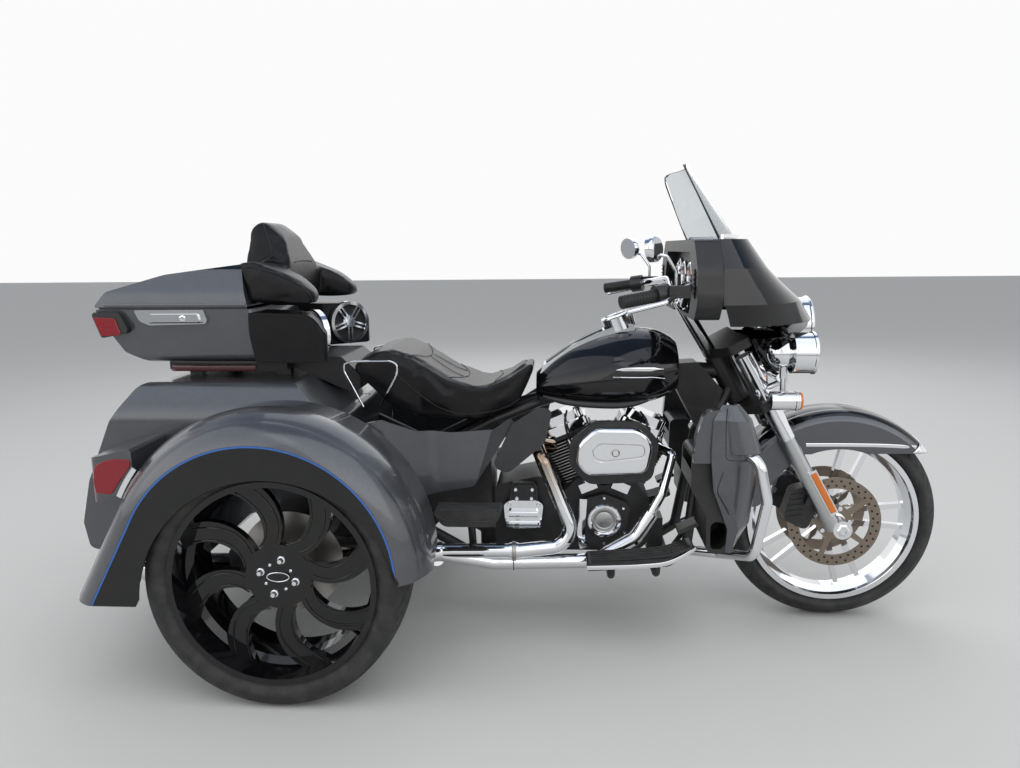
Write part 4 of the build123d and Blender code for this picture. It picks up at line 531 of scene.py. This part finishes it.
# Front lamps: a chrome headlamp bucket and two passing lamps with clear lenses, and amber
# signals on chrome stalks, all on one chrome bar.
LENS = finish("clear lamp lens", (0.78, 0.81, 0.84), 0.12, metal=0.35, coat=1.0)
centres, normals = face_arrays("headlamp")
coat_node("headlamp", CHROME, LENS, choice=centres[:, 0] > 1561)
centres, normals = face_arrays("lamp_bar")
lit = (normals[:, 0] > 0.9) & (centres[:, 0] > 1520)
signal = (centres[:, 0] > 1488) & (centres[:, 2] < 815)
coat_node("lamp_bar", CHROME, LENS, AMBER, choice=lit + signal * 2)
for name, place, rows, sides, material in (
    ("headlamp_rim", (1560, 0, 985), [(92, -3), (96, -1), (97, 4), (94, 8), (88, 8)], 64, CHROME),
    ("passing_rims", (1530, -205, 922), [(60, -8), (65, -6), (65, 2), (60, 5), (55, 3)], 48, CHROME),
    ("passing_lenses", (1530, -205, 922), [(57, -2), (56, 3), (38, 8), (16, 10.5), (2, 11)], 48, LENS),
    ("signal_lenses", (1494, -211, 776), [(27.5, -10), (28.4, 2), (26, 8), (14, 11), (2, 12)], 32, AMBER),
    ("signal_rims", (1482, -211, 776), [(29, -2), (31, 0), (31, 5), (29, 7)], 32, CHROME),
):
    lamp = turned(place, (1, 0, 0), rows, sides)
    skins(name, both(lamp) if place[1] else lamp, material, "steering", wrap_u=material is CHROME)


# Hand controls: rubber grips and black housings on the bar, chrome levers; the oval
# mirrors have chrome backs.
GRIP_RUBBER = finish("grip rubber", (0.012, 0.012, 0.012), 0.55, dust=0.04, grain=(600, 0.2))
centres, normals = face_arrays("hand_controls")
folded = np.stack([centres[:, 0], -np.abs(centres[:, 1]), centres[:, 2]], -1)
grip_end = np.array([952.0, -400.0, 1092.0])
toward = unit([144.0, 55.0, 23.0])
run = (folded - grip_end) @ toward
off = np.linalg.norm(folded - grip_end - run[:, None] * toward, axis=1)
grip = (off < 19) & (run < 93)
lever = (off > 33) & (run < 108) & (folded[:, 2] < 1112)
coat_node("hand_controls", BLACK_MOULDING, GRIP_RUBBER, CHROME, choice=grip + lever * 2)
a = np.linspace(0, 2 * pi, 24, endpoint=False)[:, None]
down = np.array([0.0, 0.386, -0.922])
circle = grip_end + 18.2 * (np.cos(a) * down + np.sin(a) * np.cross(toward, down))
ridges = [swept(at(circle + toward * s), 1.3, 1.6, 6, up=toward, closed=True) for s in np.arange(-8, 86, 9.4)]
skins("grip_ridges", both(ridges), GRIP_RUBBER, "steering", wrap_u=True)
centres, normals = face_arrays("mirrors")
folded = np.stack([normals[:, 0], normals[:, 1] * -np.sign(centres[:, 1]), normals[:, 2]], -1)
glass = (folded @ np.array([-0.92, 0.38, -0.1]) > 0.93) & (centres[:, 0] < 1040)
coat_node("mirrors", CHROME, finish("mirror glass", (0.86, 0.88, 0.9), 0.01, metal=1.0), choice=glass)
riser_cap = turned((1158, -64, 1062), (0, 1, 0), [(17, -18), (19, -16), (19, 16), (17, 18)], 24)
skins("riser_caps", both(riser_cap), CHROME, "steering", wrap_u=True)


# Fuel tank: gloss black pressing with a blank chrome badge and a dark rolled lower edge;
# the chrome console on its crown carries a black-faced dial.
DIAL = finish("dial glass", (0.008, 0.008, 0.01), 0.05)
coat_node("tank_console", CHROME)


def side_y(name, x, z):
    """Where a line along Y at each (x, z), in metres, first meets a node from the right:
    barycentric weights of all points in all triangles in XZ at once, lowest y kept."""
    mesh = nodes[name].data
    mesh.calc_loop_triangles()
    corner = values_of(mesh.loop_triangles, "vertices", int)
    a, b, c = values_of(mesh.vertices, "co")[corner].transpose(1, 0, 2)
    det = (b[:, 0] - a[:, 0]) * (c[:, 2] - a[:, 2]) - (c[:, 0] - a[:, 0]) * (b[:, 2] - a[:, 2])
    det = np.where(np.abs(det) < 1e-12, np.inf, det)
    px, pz = x[:, None] - a[:, 0], z[:, None] - a[:, 2]
    w1 = (px * (c[:, 2] - a[:, 2]) - (c[:, 0] - a[:, 0]) * pz) / det
    w2 = ((b[:, 0] - a[:, 0]) * pz - px * (b[:, 2] - a[:, 2])) / det
    held = (w1 > -1e-5) & (w2 > -1e-5) & (w1 + w2 < 1 + 1e-5)
    y = a[:, 1] + w1 * (b[:, 1] - a[:, 1]) + w2 * (c[:, 1] - a[:, 1])
    return np.where(held, y, np.inf).min(1)


def laid(name, rows, lift=0.5, corner=12.0, step=5.0):
    """A line of (x, z) in millimetres laid on a node's right side, lifted off it along Y."""
    path = bent([(x, 0, z) for x, z in rows], corner, step)
    y = side_y(name, path[:, 0], path[:, 2])
    met = np.flatnonzero(np.isfinite(y))
    path[:, 1] = np.interp(np.arange(len(y)), met, y[met]) - lift / 1000
    return path


badge = laid("fuel_tank", [(946, 864), (1000, 868), (1092, 866)], 1.0, 30)
wide = np.interp(np.linspace(0, 1, len(badge)), [0, 0.15, 0.8, 1], [1.5, 6, 6.5, 2])
skins("badge_bars", both(swept(badge, 2.6, wide, 12, boxy=0.7)), CHROME)
line = laid("fuel_tank", [(936, 842), (1060, 842), (1096, 836)], 0.8, 10)
skins("badge_lines", both(swept(line, 1.8, 1.8, 8)), CHROME)
plain = laid("fuel_tank", [(950, 853), (1020, 854), (1094, 853)], 0.2, 30)
skins("badge_fields", both(swept(plain, 1.6, 6.0, 12, boxy=0.5)), BLACK_MOULDING)
band = bent([(716, -66, 762), (780, -92, 748), (900, -130, 744), (1000, -138, 748), (1050, -128, 762)], 60)
wide = np.interp(np.linspace(0, 1, len(band)), [0, 0.2, 0.85, 1], [6, 14, 14, 6])
skins("tank_lower_edges", both(swept(band, wide, wide * 0.8, 16, boxy=0.8)), SHIELD_GREY)
dial_up = np.array([-0.34, 0, 0.94])
dial = np.array([962, 0, 1000]) + dial_up * 22
rim = turned(dial, dial_up, [(52, -3), (54, 0), (52, 4), (46, 5), (44, 2)], 48)
skins("dial_rim", rim, CHROME, wrap_u=True)
skins("dial_face", turned(dial, dial_up, [(45, -1), (45, 2), (30, 3), (1, 3.4)], 48), DIAL)
inlay = bent([(724, 0, 868), (812, 0, 931), (888, 0, 969), (908, 0, 977)], 40)
skins("console_inlay", swept(inlay, 24, 2.2, 16, boxy=0.4), BLACK_MOULDING)


# Engine: black finned cylinders with bright-machined fin edges, chrome rocker boxes,
# pushrod tubes and covers, all held by chrome cap screws.
for name in ("engine_case", "air_backplate"):
    coat_node(name, BLACK_CASTING)
coat_node("rear_axle", SATIN_BLACK)
CRANK, V_HALF = np.array([914, 0, 350]), radians(22.5)
centres, normals = face_arrays("cylinders")
lean = np.where(centres[:, 0] > CRANK[0], 1.0, -1.0) * sin(V_HALF)
axis = np.stack([lean, 0 * lean, np.full_like(lean, cos(V_HALF))], -1)
rel = centres - CRANK
high = (rel * axis).sum(1)
out = np.linalg.norm(rel - high[:, None] * axis, axis=1)
edges = (np.abs((normals * axis).sum(1)) < 0.3) & (out > 68) & (high < 296)
coat_node("cylinders", BLACK_CASTING, finish("machined fin edge", (0.3, 0.3, 0.3), 0.3, metal=1.0),
    choice=edges)
for name in ("rocker_boxes", "pushrod_covers", "air_cover", "engine_guard", "speakers", "trunk_latch"):
    coat_node(name, CHROME)


def screws(name, places, radius=5.0, height=4.0, axis=(0, -1, 0)):
    """Round-headed cap screws, each a low turned head with a sunk socket."""
    profile = [(radius, -2), (radius, height * 0.7), (radius * 0.8, height), (radius * 0.45, height),
               (radius * 0.4, height * 0.4), (0.2, height * 0.4)]
    skins(name, turned(places, axis, profile, 14), CHROME)


for lean, name in ((-1, "rear"), (1, "front")):
    up = np.array([sin(V_HALF * lean), 0, cos(V_HALF * lean)])
    along = np.array([up[2], 0, -up[0]])
    heads = [CRANK + up * 376 + along * i + (0, y, 0) for i in (-52, 52) for y in (-42, 42)]
    screws("rocker_screws_" + name, heads, 6, axis=up)
    sides = [CRANK + up * 318 + along * i - (0, 70, 0) for i in (-66, 66)]
    screws("head_screws_" + name, sides, 6, 5)
centres, normals = face_arrays("engine_covers")
right = centres[:, 1] < 0
cam = right & (centres[:, 0] > 790) & (centres[:, 1] > -135.5)
gear_top = right & (centres[:, 0] < 760) & ((centres[:, 2] > 424) | (centres[:, 1] > -131))
coat_node("engine_covers", CHROME, BLACK_CASTING, choice=cam | gear_top)
disc = [(39.5, -2), (39, 1.6), (30, 2.4), (27, 1), (24, 2.2), (2, 3)]
ring = [(54, -6), (55, -2), (52, 2), (44, 3), (41, 0), (40, -6)]
skins("cam_disc", turned((914, -144, 367), (0, -1, 0), disc, 48),
    finish("brushed cover disc", (0.45, 0.45, 0.44), 0.34, metal=1.0, dust=0.05, grain=(160, 0.8)))
skins("cam_ring", turned((914, -154, 367), (0, -1, 0), ring, 48), CHROME, wrap_u=True)
screws("cam_screws", round_axle((914, -156, 367), 47, [90, 162, 234, 306, 18]), 3.4, 2.4)
cover = [(840, 408), (850, 318), (914, 284), (980, 322), (976, 404), (914, 438)]
screws("cover_screws", [(x, -134, z) for x, z in cover])
screws("gearbox_screws", [
    (626, -140, 466), (680, -140, 466), (630, -140, 436), (678, -140, 436),
    (604, -132, 412), (700, -132, 412), (602, -132, 340), (702, -132, 340)], 6.5, 5)
boss = [swept(bent([(604, -147, z), (698, -147, z)], 0), 4, 9, 16, boxy=0.5) for z in (384, 352)]
skins("gearbox_bosses", boss, CHROME)
bracket = bent([(846, -140, 436), (842, -142, 372), (838, -142, 306), (848, -140, 270)], 20)
skins("chrome_bracket", swept(bracket, 3.0, 13, 12, up=(1, 0, 0), boxy=0.4), CHROME)
skins("air_bolt", turned((942, -232, 615), (0, -1, 0), [(12, -2), (13, 3), (10, 5), (7, 3), (1, 3)], 24), STEEL)
groove = [(872, 622), (890, 644), (1030, 640), (1032, 604), (902, 588), (872, 602), (872, 622)]
loop = bent([(x, -234.6, z) for x, z in groove], 16, 4)[:-1]
skins("air_cover_groove", swept(loop, 1.2, 1.6, 8, up=(0, 1, 0), closed=True), STEEL, wrap_u=True)
for number, rows in enumerate((
    [(792, -96, 720), (784, -130, 690), (796, -128, 640), (820, -100, 600)],
    [(1030, -90, 716), (1052, -126, 690), (1040, -130, 640), (1012, -104, 600)],
)):
    skins("plug_lead_%d" % number, swept(bent(rows, 24), 3.6, 3.6, 10), SATIN_BLACK)


# Exhaust: chrome heat shields over the headers, browned where the rear one leaves its head,
# with clamps where they join, and two silencers under the body.
EXHAUST_CHROME = finish("exhaust chrome", (0.8, 0.81, 0.83), 0.08, metal=1.0)

# The rear header's first bend turns brown: a ramp on Object Z times a ramp on X.
tree = EXHAUST_CHROME.node_tree
parts = shader_node(tree, "SeparateXYZ", {0: object_place(tree)}).outputs
back = ramp(tree, parts["X"], REAR_AXLE_X + 0.80, REAR_AXLE_X + 0.76)
hot = sum_of(tree, "MULTIPLY", ramp(tree, parts["Z"], 0.44, 0.6), back)
fill(tree, tree.nodes["film"], {"Colour": mixed(tree, hot, (0.8, 0.81, 0.83, 1), (0.3, 0.22, 0.15, 1))})
coat_node("exhaust", EXHAUST_CHROME)
clamps = [turned(middle, along, [(r, -7), (r + 3, -6), (r + 3, 6), (r, 7)], 32) for middle, r, along in (
    ((626, -250.4, 300), 26, (1, 0.05, 0)),
    ((-118, -330, 262), 47, (1, 0, 0)),
    ((-118, 330, 262), 47, (1, 0, 0)))]
skins("exhaust_clamps", clamps, STEEL, wrap_u=True)
seam = turned((624, -240, 256), (1, 0.02, 0), [(23.2, -1.4), (24.4, -0.6), (24.4, 0.6), (23.2, 1.4)], 32)
skins("shield_seam", seam, DARK_AND_HOLE_SHADE, wrap_u=True)
# The two slots in the heat shield are tapered near-black strips on its face: painted shade where the shield is
# open.
for number, (rows, tall) in enumerate((
    ([(384, -283.2, 311), (548, -275.6, 311)], 4.5), ([(404, -284.4, 293), (532, -278.4, 293)], 3.0),
)):
    slot = bent(rows, 0, 4)
    taper = np.interp(np.linspace(0, 1, len(slot)), [0, 0.14, 0.88, 1], [0.2, 1, 1, 0.2])
    skins("shield_slot_shade_%d" % number, swept(slot, 1.2, tall * taper, 8, boxy=0.5), DARK_AND_HOLE_SHADE)


# Footboards: black rubber pads on steel trays; the rider's have a chrome strip along the
# outer edge, the passenger's fold up on their hinges.
coat_node("rider_footboards", SATIN_BLACK)
PAD_RUBBER = finish("pad rubber", (0.02, 0.02, 0.02), 0.6, dust=0.08, grain=(420, 0.3))
for name in ("pillion_board_right", "pillion_board_left"):
    coat_node(name, PAD_RUBBER)
strip = bent([(852, -341, 283), (1000, -343, 290), (1090, -341, 298), (1150, -324, 320), (1182, -302, 336)], 30)
skins("board_strips", both(swept(strip, 3.0, 7.0, 12, boxy=0.5)), CHROME)
pads = [swept(bent([(866, y, 299), (1092, y, 316), (1160, y + 6, 342)], 40), 7, 3.0, 10, boxy=0.4)
        for y in range(-326, -253, 18)]
skins("board_pads", both(pads), PAD_RUBBER)
for side, sign in (("right", -1), ("left", 1)):
    ribs = [swept(bent([(408, y * -sign, 473), (584, y * -sign, 473)], 0), 6, 1.6, 10, boxy=0.5)
            for y in (-310, -328, -346, -364, -379)]
    skins("pillion_ribs_" + side, ribs, PAD_RUBBER, "pillion_board_" + side)
    outline = ((396, 464), (412, 449), (436, 443), (556, 443), (580, 450), (596, 464))
    lip = bent([(x, sign * 387, z) for x, z in outline], 24)
    skins("pillion_lip_" + side, swept(lip, 1.6, 1.6, 8), SHIELD_GREY, "pillion_board_" + side)


# Fairing lowers: charcoal bowed shields with a glove-door seam, black ducts behind them
# and the chrome guard through them.
centres, normals = face_arrays("lower_fairings")
duct = (np.abs(centres[:, 1]) < 348) & (centres[:, 0] < 1300)
coat_node("lower_fairings", CHARCOAL, BLACK_MOULDING, choice=duct)
for number, rows in enumerate((
    [(1246, 786), (1244, 700), (1246, 636), (1330, 630)], [(1240, 600), (1224, 540), (1262, 470)],
)):
    seam = laid("lower_fairings", rows, -0.3, 14, 4)
    skins("lower_seams_%d" % number, both(swept(seam, 1.0, 1.3, 8)), DARK_AND_HOLE_SHADE)


# Seat: a two-up pad of stitched black leather over foam, with piping along each side, seams
# across the rider's dish, and a chrome frame on each side of the passenger's end.
LEATHER = finish("black leather", (0.008, 0.008, 0.009), 0.34, dust=0.01, gleam=0.2)
STITCH = finish("leather seam", (0.006, 0.006, 0.006), 0.6)

# Fine pebble grain and soft creases: two noises on Object coordinates feed a bump.
tree = LEATHER.node_tree
place = object_place(tree)
grain = shader_node(tree, "TexNoise", {"Vector": place, "Scale": 520.0}).outputs["Fac"]
crease = shader_node(tree, "TexNoise", {"Vector": place, "Scale": 26.0, "Detail": 3.0}).outputs["Fac"]
raise_surface(tree, 0.25, 0.004, sum_of(tree, "MULTIPLY_ADD", grain, 0.25, crease))


def stuffed(name, node, body, voxel, shrink, cap, ease_steps):
    """Padded copy of a CAD node: remeshed, drawn in by shrink along its normals, blown up by
    cloth pressure without gravity, each point's move d limited to d * min(1, cap / |d|)."""
    scene = bpy.context.scene
    piece = stood(name, nodes[node].data.copy())
    remesh = piece.modifiers.new("skin", "REMESH")
    remesh.mode = "VOXEL"
    remesh.voxel_size = voxel
    ease = piece.modifiers.new("ease", "SMOOTH")
    ease.factor, ease.iterations = 0.5, ease_steps
    solid = bpy.data.meshes.new_from_object(piece.evaluated_get(bpy.context.evaluated_depsgraph_get()))
    piece.modifiers.clear()
    piece.data = solid
    start = values_of(solid.vertices, "co") - values_of(solid.vertices, "normal") * shrink
    solid.vertices.foreach_set("co", start.ravel())
    solid.update()
    cloth = piece.modifiers.new("stuffing", "CLOTH")
    cloth.settings.use_pressure = True
    cloth.settings.uniform_pressure_force = 4.0
    cloth.settings.effector_weights.gravity = 0.0
    cloth.settings.quality = 5
    for moment in range(1, 21):
        scene.frame_set(moment)
    blown = piece.evaluated_get(bpy.context.evaluated_depsgraph_get()).data
    move = values_of(blown.vertices, "co") - start
    piece.modifiers.clear()
    scene.frame_set(1)
    length = np.linalg.norm(move, axis=1)[:, None]
    move *= np.minimum(1, cap / np.maximum(length, 1e-9))
    solid.vertices.foreach_set("co", (start + move).ravel())
    solid.update()
    solid.materials.clear()
    solid.materials.append(LEATHER)
    solid.polygons.foreach_set("material_index", np.zeros(len(solid.polygons), int))
    solid.shade_smooth()
    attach(piece, body)
    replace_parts(piece, node)
    return piece


seat = stuffed("seat_pad", "seat", "chassis", 0.006, 0.0035, 0.006, 12)


def on_soft(piece, rows, along, lift, corner=14.0):
    """A polyline drawn onto a soft piece: each point goes along the given way to where the
    piece's skin is met, found as the nearest point of those within 6 mm of its line. Ends
    that meet no skin are cut off."""
    path = bent(rows, corner)
    skin = values_of(piece.data.vertices, "co")
    along = unit(along)
    rel = skin[None] - path[:, None]
    depth = rel @ along
    off = np.linalg.norm(rel - depth[..., None] * along, axis=-1)
    far = np.where(off < 0.006, depth, -np.inf).max(1)
    met = np.flatnonzero(np.isfinite(far))
    path = path[met[0]:met[-1] + 1]
    far = np.interp(np.arange(met[0], met[-1] + 1), met, far[met])
    far = np.convolve(np.pad(far, 2, mode="edge"), np.ones(5) / 5, mode="valid")
    return path + along * (far[:, None] + lift / 1000)


piping = on_soft(seat, [(262, -100, 852), (325, -100, 791), (385, -100, 748), (440, -100, 727),
    (488, -100, 722), (549, -100, 726), (604, -100, 738), (640, -80, 760)], (0, -1, 0), 0.2)
skins("seat_piping", both(swept(piping, 1.8, 1.8, 8)), STITCH)


def across_to_left(half, z):
    """Rows at height z from the right side to the left, from the right half's (x, y)."""
    return [(x, y, z) for x, y in half + [(x, -y) for x, y in half[::-1] if y]]


for number, rows in enumerate((
    across_to_left([(420, -150), (446, -100), (462, -50), (468, 0)], 800),
    across_to_left([(560, -118), (574, -60), (580, 0)], 800),
    across_to_left([(300, -160), (330, -90), (342, 0)], 840),
)):
    skins("seat_seam_%d" % number, swept(on_soft(seat, rows, (0, 0, 1), -0.1, 30), 1.1, 0.8, 8), STITCH)
ridge = [on_soft(seat, [(342, y * 0.5, 830), (400, y * 0.8, 810), (462, y, 800)], (0, 0, 1), -0.2, 20)
    for y in (-60, 60)]
skins("seat_channels", [swept(line[:24], 1.0, 0.8, 8) for line in ridge], STITCH)
trim = bent([(150, -203, 752), (93, -206, 868), (95, -206, 890), (120, -206, 897), (240, -206, 899),
    (262, -206, 888), (262, -206, 860), (206, -204, 756)], 8, 4)
skins("seat_frames", both(swept(trim, 3.2, 4.2, 10, up=(0, 1, 0), boxy=0.7)), CHROME)


# Backrest: one padded piece on the lid with two arms that reach forward round the
# passenger, sewn in panels.
backrest = stuffed("backrest_pad", "backrest", "trunk_lid", 0.006, 0.0025, 0.007, 24)
outline = ((-176, 1194), (-141, 1194), (-110, 1184), (-76, 1174), (-19, 1148), (16, 1114), (24, 1090))
arm = on_soft(backrest, [(x, -200, z) for x, z in outline], (0, -1, 0), 0.2, 20)
skins("arm_piping", both(swept(arm, 1.7, 1.7, 8)), STITCH, "trunk_lid")
back = on_soft(backrest, [(-184, -60, 1330), (-158, -60, 1286), (-142, -60, 1240), (-136, -60, 1200)],
    (0, -1, 0), 0.2, 20)
skins("back_piping", both(swept(back, 1.7, 1.7, 8)), STITCH, "trunk_lid")
face = on_soft(backrest, [(-120, -90, 1204), (-120, -60, 1207), (-120, 0, 1208), (-120, 60, 1207),
    (-120, 90, 1204)], (1, 0, 0), 0.1, 20)
skins("back_seam", swept(face, 1.5, 1.5, 8), STITCH, "trunk_lid")


# Speaker pods: stitched leather over the trunk's front corners, each with a round speaker
# in a chrome ring with five pairs of bars over a dark cone.
coat_node("speaker_pods", LEATHER)
centres, normals = face_arrays("speakers")
flat = (normals[:, 0] - normals[:, 1] * np.sign(centres[:, 1])) * 0.7071 > 0.98
depth = (centres[:, 0] - 2 + 207 - np.abs(centres[:, 1])) * 0.7071
coat_node("speakers", CHROME, DARK_AND_HOLE_SHADE, choice=flat & (depth < 6))
stitches = [bent([(-146, -301.2, 1052), (-10, -301.2, 1050), (26, -299, 1036), (54, -297, 998)], 16),
            bent([(-138, -301, 914), (48, -297, 914)], 0)]
for number, path in enumerate(stitches):
    skins("pod_stitch_%d" % number, both(swept(path, 0.9, 0.9, 6)), STITCH)
dome = turned((5.8284, -203.1716, 984), (1, 1, 0), [(24, 0), (24, 3), (17, 8), (6, 11), (1, 11.5)], 32)
skins("speaker_domes", both(dome), ALUMINIUM)


# Top trunk: charcoal box and lid, black on the lid's crown, with a dark rubber seal along
# the seam, a chrome latch, corner lamps in black bezels and a red reflector strip below.
centres, normals = face_arrays("trunk_lid")
coat_node("trunk_lid", GLOSS_BLACK, CHARCOAL, choice=(normals[:, 2] < 0.72) | (centres[:, 2] < 1120))
seal = bent(across_to_left([(-168, -299), (-610, -299), (-638, -285), (-641, 0)], 1072), 14, 8)
skins("trunk_seal", swept(seal, 2.4, 3.4, 8, boxy=0.6),
    finish("rubber seal", (0.012, 0.012, 0.013), 0.5, dust=0.04, grain=(600, 0.15)))
flange = bent(across_to_left([(-172, -300.5), (-610, -300.5), (-637, -285), (-640.5, 0)], 1082), 14, 8)
skins("lid_flange", swept(flange, 3.0, 5.5, 12, boxy=0.5), CHARCOAL, "trunk_lid")
RED_LENS = finish("red lens", (0.24, 0.003, 0.01), 0.2, coat=0.25, grain=(240, 0.6))
centres, normals = face_arrays("tail_lamps")
low = centres[:, 2] < 800
plain = (normals[:, 0] > 0.3) | (np.abs(normals[:, 1:]).max(1) > 0.8)
coat_node("tail_lamps", RED_LENS, CHROME, BLACK_MOULDING, CHARCOAL,
          choice=(low & plain) * 3 + (~low & (normals[:, 0] > -0.8)) * 2)


def plate(outline, out, thick, corner=8.0):
    """Flat cover with rounded edges: the closed outline in XZ, smoothed, set at three steps
    along Y, the last one drawn in towards its middle by 0.6 of the thickness."""
    rows = np.array([(x, out, z) for x, z in outline + outline[:3]], float)
    loop = bent(rows, corner, 3.0)
    start = int(len(loop) * 0.12)
    gap = np.linalg.norm(loop[start + 8:] - loop[start], axis=1)
    loop = loop[start:start + 8 + int(gap[len(loop) // 3:].argmin()) + len(loop) // 3]
    middle = loop.mean(0)
    inward = unit(middle - loop)
    step = np.sign(out) * thick / 1000
    return np.stack([loop, loop + (0, step * 0.6, 0), loop + (0, step, 0) + inward * thick / 1000 * 0.6])


lens = plate([(-640, 1048), (-572, 1044), (-556, 994), (-620, 990)], -315.0, 2.6)
skins("trunk_lamp_lenses", both(lens), RED_LENS, sharp=12.0)
lens = plate([(-508, 652), (-498, 668), (-474, 679), (-451, 683), (-404, 682), (-404, 662),
              (-433, 626), (-465, 582), (-508, 586), (-512, 617)], -598.4, 2.4, 6.0)
skins("fender_lamp_lenses", both(lens), RED_LENS, sharp=12.0)
edge = bent(round_axle((FENDER_X, -601, FENDER_Z), 459, np.arange(142, 156, 2)), 0, 8)
skins("fender_lamp_trims", both(swept(edge, 8.0, 2.4, 10, up=(0, 1, 0), boxy=0.5)), CHROME)
strip = bent(across_to_left([(-190, -202), (-456, -202), (-472, -190)], 876), 12, 8)
skins("rear_reflector", swept(strip, 3.0, 10.0, 10, boxy=0.4),
    finish("dark red reflector", (0.11, 0.004, 0.008), 0.2, coat=0.5, grain=(240, 0.5)))
ledge = bent([(-430, -271, 906), (-300, -272, 904), (-170, -272, 904), (-130, -268, 904)], 6)
skins("trunk_ledges", both(swept(ledge, 4.0, 4.0, 10, boxy=0.5)), BLACK_MOULDING)
gap_line = laid("trunk_latch", [(-466, 1030), (-306, 1030)], 0.2, 0)
keyhole = turned((-362, -316, 1044), (0, -1, 0), [(9, -2), (9, 2), (7, 3), (4, 3), (3.6, 1), (0.5, 1)], 20)
skins("latch_lock", keyhole, CHROME)
skins("latch_gap", swept(gap_line, 0.8, 1.2, 8), DARK_AND_HOLE_SHADE)


# Wheel arches: the edge of each fender's flat side is rolled round a wire for stiffness.
wheel_arch = round_axle((0, -701.6, 302), 356, np.arange(12, 169, 3))
skins("arch_lips", both(swept(at(wheel_arch), 2.2, 3.4, 8)), GLOSS_BLACK)


# Luggage body: hatch with a recessed black handle, and its seam round the opening.
handle = bent([(-602, -70, 690), (-602, 70, 690)], 0)
skins("hatch_handle", swept(handle, 7, 10, 12, boxy=0.5), BLACK_MOULDING, "rear_hatch")


# Floor, light and camera: a pale floor, large soft lamps and a pale sky.
FLOOR_HALF = 30.0
corners = [(x * FLOOR_HALF, y * FLOOR_HALF, 0) for x, y in ((-1, -1), (1, -1), (1, 1), (-1, 1))]
floor_mesh = bpy.data.meshes.new("floor")
floor_mesh.from_pydata(corners, [], [(0, 1, 2, 3)])
floor_mesh.materials.append(finish("pale floor", (0.62, 0.62, 0.61), 0.8, dust=0.0))
stood("floor", floor_mesh)

world = bpy.data.worlds.new("studio")
bpy.context.scene.world = world
world.use_nodes = True
sky = world.node_tree
soft = sky.nodes["Background"]
fill(sky, soft, {"Color": (0.95, 0.97, 1.0, 1), "Strength": 0.55})
way = sky.nodes.new("ShaderNodeTexCoord").outputs["Generated"]
height = shader_node(sky, "SeparateXYZ", {0: way}).outputs["Z"]
shade = mixed(sky, ramp(sky, height, 0.3, 0.8), (0.97, 0.97, 0.97, 1), (0.15, 0.22, 0.36, 1))
bright = shader_node(sky, "Background", {"Color": shade, "Strength": 1.0})
ray = sky.nodes.new("ShaderNodeLightPath").outputs
seen = sum_of(sky, "MAXIMUM", ray["Is Camera Ray"], ray["Is Glossy Ray"])
seen = sum_of(sky, "MAXIMUM", seen, ray["Is Transmission Ray"])
blend = shader_node(sky, "MixShader",
    {"Fac": seen, 1: soft.outputs["Background"], 2: bright.outputs["Background"]})
fill(sky, sky.nodes["World Output"], {"Surface": blend.outputs["Shader"]})

for name, place, turn, size, power in (
    ("key lamp", (2.6, -3.4, 4.6), (38, 0, 34), 8.0, 200.0),
    ("fill lamp", (-3.6, -2.6, 3.4), (48, 0, -52), 6.0, 80.0),
    ("back lamp", (0.4, 4.2, 4.2), (-42, 0, 4), 6.0, 100.0),
):
    lamp = bpy.data.lights.new(name, "AREA")
    lamp.size, lamp.energy = size, power
    holder = stood(name, lamp)
    holder.location = place
    holder.rotation_euler = [radians(a) for a in turn]

CAMERA_PLACE = (0.7713 + REAR_AXLE_X, -2.6561, 1.2420)
YAW, PITCH, ROLL = -0.0637, 0.1678, -0.0096
LENS_LENGTH = 28.29
camera_data = bpy.data.cameras.new("camera")
camera_data.lens = LENS_LENGTH
camera_data.sensor_width = 36.0
camera = stood("camera", camera_data)
turn = Matrix.Rotation(-YAW, 4, "Z") @ Matrix.Rotation(pi / 2 - PITCH, 4, "X") @ Matrix.Rotation(ROLL, 4, "Z")
camera.matrix_world = Matrix.Translation(CAMERA_PLACE) @ turn
bpy.context.scene.camera = camera
bpy.context.scene.view_settings.view_transform = "Standard"
